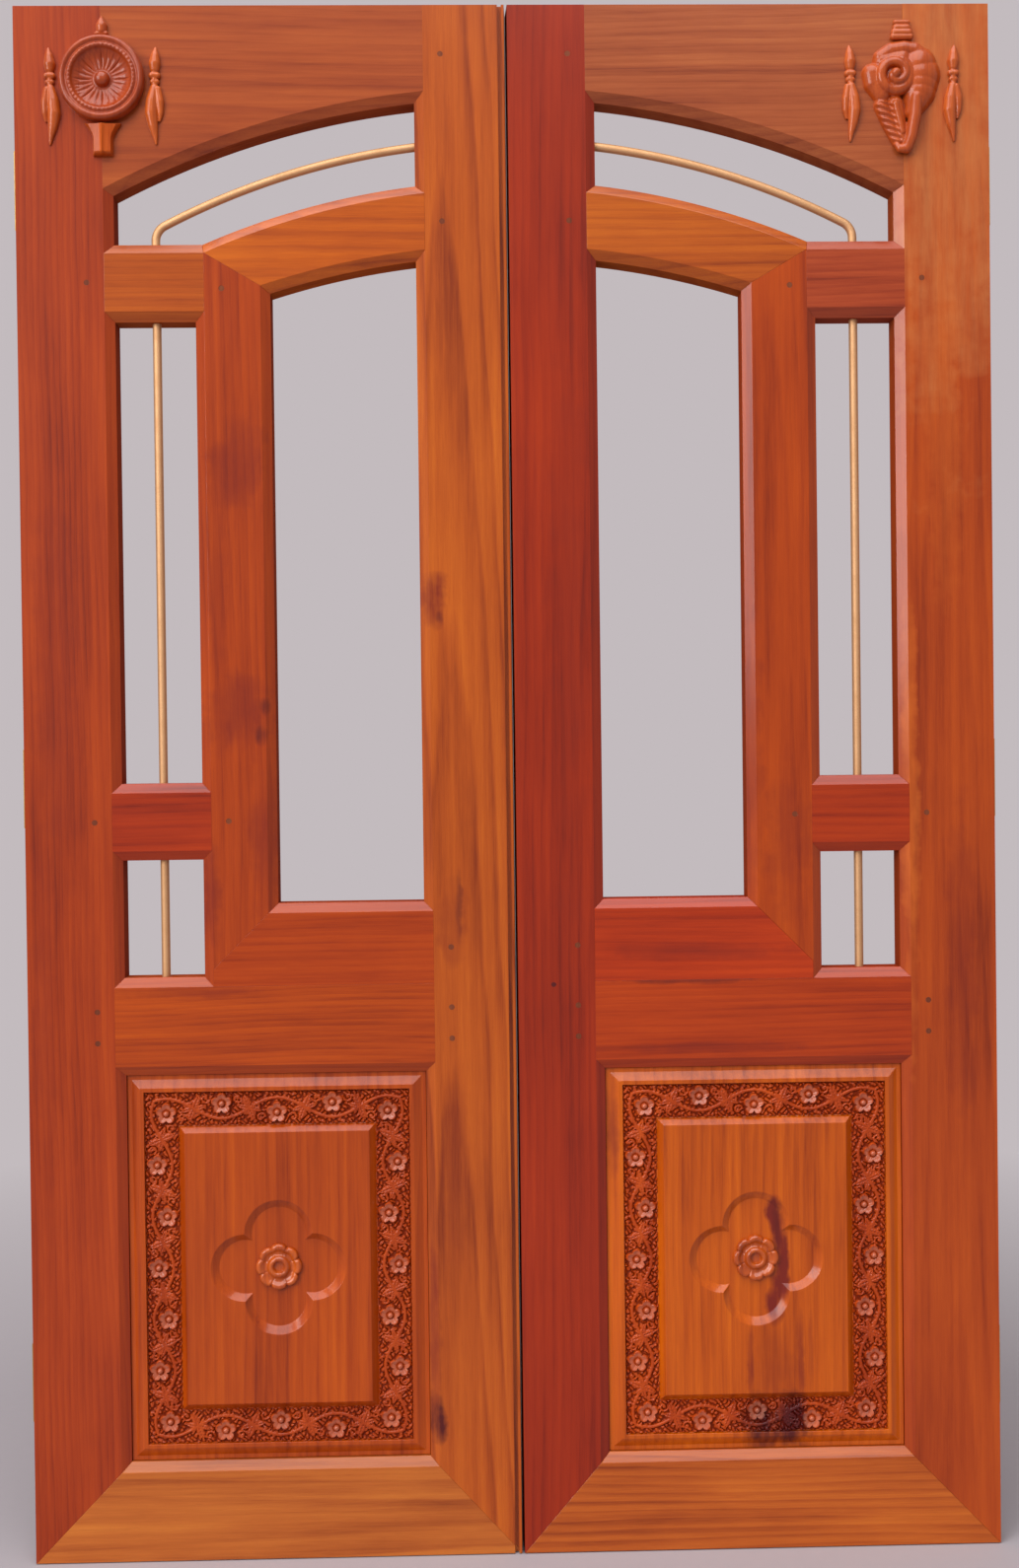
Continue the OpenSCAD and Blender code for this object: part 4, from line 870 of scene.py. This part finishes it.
# %% Crown buds
crowns = {
    "discus": ("left", -emblem_x,
               [[(-6.2, 57.5, 2.8, 6.4), (6.2, 57.5, 2.8, 6.4)],
                [(0, 62.3, 7, 8.6), (0, 66.8, 7.4, 9), (0, 72.3, 4.6, 7), (0, 76.7, 2.2, 4.6),
                 (0, 79.1, 1.1, 3)]]),
    "conch": ("right", emblem_x,
              [[(-11, 50.6, 4.0, 7.6), (11, 50.6, 4.0, 7.6)], [(-9, 56, 5, 8), (9, 56, 5, 8)],
               [(-7, 62, 5, 7.4), (7, 62, 5, 7.4)], [(-8.4, 69, 2.8, 6.4), (8.4, 69, 2.8, 6.4)]]),
}
for emblem, (side, at_x, chains) in crowns.items():
    bud = whittled(emblem + "_crown_bud", chains, (at_x, emblem_z), 0.7)
    lay_flat(bud)
    bud.data.materials.append(carved_teak(emblem + "_crown_teak", (182, 78, 30), 6.0, at_x))
    place(bud, side + "_leaf", "teak_carving", emblem + "_crown")

# %% [markdown]
# ## The conch
# On the right leaf stands a conch seen from its mouth: a coil that climbs to a knob, a full belly, a hood
# above and a tail below with pleats on one side and a smooth lip on the other. The coil is one long line of
# balls that grows as it unwinds. The pleats are pressed in afterwards.

# %% Conch
knob_x, coil_balls, coil_start, coil_turn, coil_close = -11, 40, 62, 590, 0.66
coil = []
for i in range(coil_balls):
    t = i / (coil_balls - 1)
    turn = math.radians(coil_start - coil_turn * t)
    reach = 20.5 - 7.5 * t if t < coil_close else 15.55 - 11.5 * (t - coil_close) / 0.34
    coil.append((knob_x + reach * math.cos(turn), reach * math.sin(turn), 8.8 - 4.4 * t, 14.4 + 4.6 * t))

# Coil and knob, left cheek, belly, hood, two fillings, tail, a rib on the tail and the lip that turns up.
conch_chains = [
    coil, [(-11, 0, 6.4, 22.4), (-10.6, 0.6, 5.4, 22.8)],
    [(-38, 4, 14, 12), (-36, -8, 14, 11.5), (-26, -22, 13, 11)],
    [(22, 16, 26, 15), (24, 3, 30, 16), (22, -18, 24, 15.2), (17, -36, 14, 13.4), (13, -46, 10, 12)],
    [(-27, 25, 10, 9), (-13, 34, 10.4, 10), (3, 36, 10.4, 10.8), (16, 33.5, 11, 10.8), (28, 25, 11, 10.6)],
    [(-24, 20, 14, 10), (0, 22, 16, 11.5)],
    [(-11, 0, 24, 11), (-6, -2, 24, 11)],
    [(-26, -36, 11, 9.5), (-17, -58, 10, 9), (-6, -82, 8, 8.5)], [(-9, -34, 11, 11), (0, -80, 8.5, 9.5)],
    [(-10, -36, 4.4, 13), (-1, -72, 3.8, 11.4)],
    [(17, -28, 8, 16), (15, -52, 8.4, 16), (10, -78, 7.6, 14.4), (4.5, -92, 6.8, 13), (-4, -92.5, 5, 11),
     (-8.4, -87, 3.6, 9.4)],
]
conch_at, pleat_pitch = (emblem_x, emblem_z), 7.4
conch = whittled("conch_shell", conch_chains, conch_at, 0.85, 6)
spots = points_of(conch)
dx, dz = spots[:, 0] - conch_at[0], spots[:, 2] - emblem_z
lip = -12.0 - 0.26 * (dz + 36)
pleat = eased((lip - dx) / 4) * eased((-31 - dz) / 5) * eased((dz + 88) / 6)
pleat = pleat * eased((face_y - 2 - spots[:, 1]) / 4)
spots[:, 1] += 1.1 * np.cos(2 * math.pi * (dz + 0.35 * dx) / pleat_pitch) * pleat
press(conch, spots)
lay_flat(conch)
conch.data.materials.append(carved_teak("conch_teak", (188, 82, 30), 6.0, 83.0))
place(conch, "right_leaf", "teak_carving", "conch")

# %% [markdown]
# ## The brass rod
# One rod climbs through both side lights, bends over the link rail and follows the arch to the meeting stile.
# It is drawn the way it was made: a circle is pulled straight up, then spun round the small bend, then spun
# along the long curve.

# %% Brass
def brass(name, tone, polish, streaks):
    f = Finish(name)
    spot = f.node("ShaderNodeTexCoord", out=3)
    drawn_out = f.node("ShaderNodeMapping", None, {0: spot, "Scale": (1.0, 1.0, 0.08)})
    brushed = f.noise(drawn_out, 900.0, 3.0) - 0.5
    dull = f.noise(spot, 38.0, 4.0, 0.6)
    colour = f.mix(((dull - 0.45) * 1.8).within() * 0.5, tint(*tone), shade(tint(*tone), 0.72, 0.62, 0.46))
    f.set(Base_Color=colour, Roughness=polish + (dull - 0.5) * 0.18 + brushed * streaks,
          Normal=f.bump(brushed, 0.12, 0.08), Metallic=1.0)
    return f.material


rod_brass = brass("rod_brass", (210, 166, 122), 0.62, 0.10)
hinge_brass = brass("hinge_brass", (200, 160, 92), 0.34, 0.25)
print("brass ready")

# %% Brass rods
rod_x, rod_foot, rod_end, rod_r = -447.0, 732.0, 100.0, 5.5
bend_x, bend_r, arch_z, arch_r = -425.0, 22.0, 863.0, 950.0
bend_z = arch_z + math.sqrt((arch_r - bend_r) ** 2 - bend_x ** 2)
bend_turn = math.acos(-bend_x / (arch_r - bend_r))
end_turn = math.acos(rod_end / arch_r)
start_fresh()
bpy.ops.mesh.primitive_circle_add(vertices=32, radius=rod_r * mm, fill_type="NGON",
                                  location=(rod_x * mm, 0, rod_foot * mm))
settle("left_rod")
bpy.ops.object.mode_set(mode="EDIT")
bpy.ops.mesh.select_all(action="SELECT")
bpy.ops.mesh.extrude_region_move(TRANSFORM_OT_translate={"value": (0, 0, (bend_z - rod_foot) * mm)})
bpy.ops.mesh.spin(steps=14, angle=bend_turn, center=(bend_x * mm, 0, bend_z * mm), axis=(0, -1, 0))
bpy.ops.mesh.spin(steps=40, angle=end_turn - bend_turn, center=(0, 0, arch_z * mm), axis=(0, -1, 0))
bpy.ops.object.mode_set(mode="OBJECT")
rod = close_up(bpy.context.object)
spots = points_of(rod)
print("rod reaches", spots.min(0).round(2), spots.max(0).round(2))
smooth(rod, 40)
right_rod = twin(rod, "right_rod", 0)
bpy.ops.object.mode_set(mode="EDIT")
bpy.ops.mesh.select_all(action="SELECT")
bpy.ops.transform.resize(value=(-1, 1, 1), center_override=(0, 0, 0))
bpy.ops.mesh.normals_make_consistent(inside=False)
bpy.ops.object.mode_set(mode="OBJECT")
for piece, side in ((rod, "left"), (right_rod, "right")):
    piece.data.materials.append(rod_brass)
    place(piece, side + "_leaf", "brass", side + "_brass_rod")

# %% [markdown]
# ## Pieces that stay as measured
# Hinge plates, pins and screws are plain machined brass, and the pegs are dowels that show only their ends.
# Their shapes are right already, so they only take a finish: brushed brass and darker end grain.

# %% Hinges and pegs
peg_teak = teak("peg_teak", tint(122, 58, 30), True, (0.0, 0.4), 3.0, 0.0, 97.0)
finish_of = {"hinge_plates": hinge_brass, "hinge_pins": hinge_brass, "hinge_screws": hinge_brass,
             "jamb_plates": hinge_brass, "tenon_pegs": peg_teak}
for node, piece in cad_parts.items():
    finish = finish_of.get(node.partition("_")[2])
    if finish:
        piece.data.materials.clear()
        piece.data.materials.append(finish)
        print(node, "takes", finish.name)

# %% [markdown]
# ## Studio
# A pale floor, a pale surround and two broad soft lamps, one in front to the left and one overhead. The side
# light models the mouldings, and the varnish on upward faces catches a pale sheen from the lamp above.

# %% Floor
floor_r, floor_z, fade_from, fade_over = 2.9, -0.001, 1.0, 1.6
start_fresh()
bpy.ops.mesh.primitive_circle_add(vertices=96, radius=floor_r, fill_type="NGON", location=(0, 0, floor_z))
floor = settle("studio_floor")
paint = Finish("studio_paint")
spot = paint.node("ShaderNodeTexCoord", out=3)
away = paint.node("ShaderNodeVectorMath", {"operation": "LENGTH"}, {0: spot}, out=1)
paint.set(Base_Color=paint.mix(paint.noise(spot, 60.0, 3.0) * 0.2, tint(178, 170, 174), tint(164, 156, 160)),
          Roughness=0.8)
surround = tint(195, 187, 190)
far = paint.node("ShaderNodeEmission", None, {"Color": surround})
skin = Wire(paint, paint.skin.outputs[0])
blended = paint.node("ShaderNodeMixShader", None,
                     {0: ((away - fade_from) / fade_over).within(), 1: skin, 2: far})
paint.feed(paint.tree.nodes["Material Output"].inputs["Surface"], blended)
floor.data.materials.append(paint.material)
print("floor", len(floor.data.polygons), "face")

# %% Surround and lamps
seen_strength, fill_strength = 1.0, 0.34
bpy.context.scene.world = bpy.data.worlds.new("studio")
air = Finish("studio", bpy.context.scene.world)
# Camera, glossy and transmission rays meet the surround at full strength, and all others a weaker fill.
rays = air.node("ShaderNodeLightPath")
seen = rays.most(rays.other(3)).most(rays.other(6))
air.feed(air.tree.nodes["Background"].inputs["Color"], surround)
air.feed(air.tree.nodes["Background"].inputs["Strength"],
         seen * (seen_strength - fill_strength) + fill_strength)
print("ray outputs:", [o.name for o in rays.socket.node.outputs][:7])

lamp_aim = Vector((0, 0, 0.8))
side_lamp = ((-5.6, -6.0, 3.4), 4.5, 4.0, 360.0)
top_lamp = ((-0.8, -3.6, 7.4), 8.0, 7.5, 640.0)
start_fresh()
for lamp_at, wide, tall, power in (side_lamp, top_lamp):
    bpy.ops.object.light_add(type="AREA", location=lamp_at)
    lamp = bpy.context.object
    lamp.data.shape, lamp.data.size, lamp.data.size_y, lamp.data.energy = "RECTANGLE", wide, tall, power
    lamp.rotation_euler = (lamp_aim - Vector(lamp_at)).to_track_quat("-Z", "Y").to_euler()
print("lamps:", len(bpy.data.lights))

# %% [markdown]
# ## Camera
# The camera stands a little left of the middle, at about half the height of the doors, and looks straight on.
# Its focal length was worked out in pixels of the photo.

# %% Camera
sensor_w, photo_w, photo_focal = 36.0, 1033.0, 1800.0
camera_at, camera_turn = (-0.0554, -2.2872, 1.0166), (1.5586, 0.0121, -0.0229)
start_fresh()
bpy.ops.object.camera_add(location=camera_at, rotation=camera_turn)
camera = bpy.context.object
camera.data.sensor_fit, camera.data.sensor_width = "HORIZONTAL", sensor_w
camera.data.lens = sensor_w * photo_focal / photo_w
bpy.context.scene.camera = camera
bpy.context.scene.view_settings.view_transform = "Standard"
print("lens", round(camera.data.lens, 2))
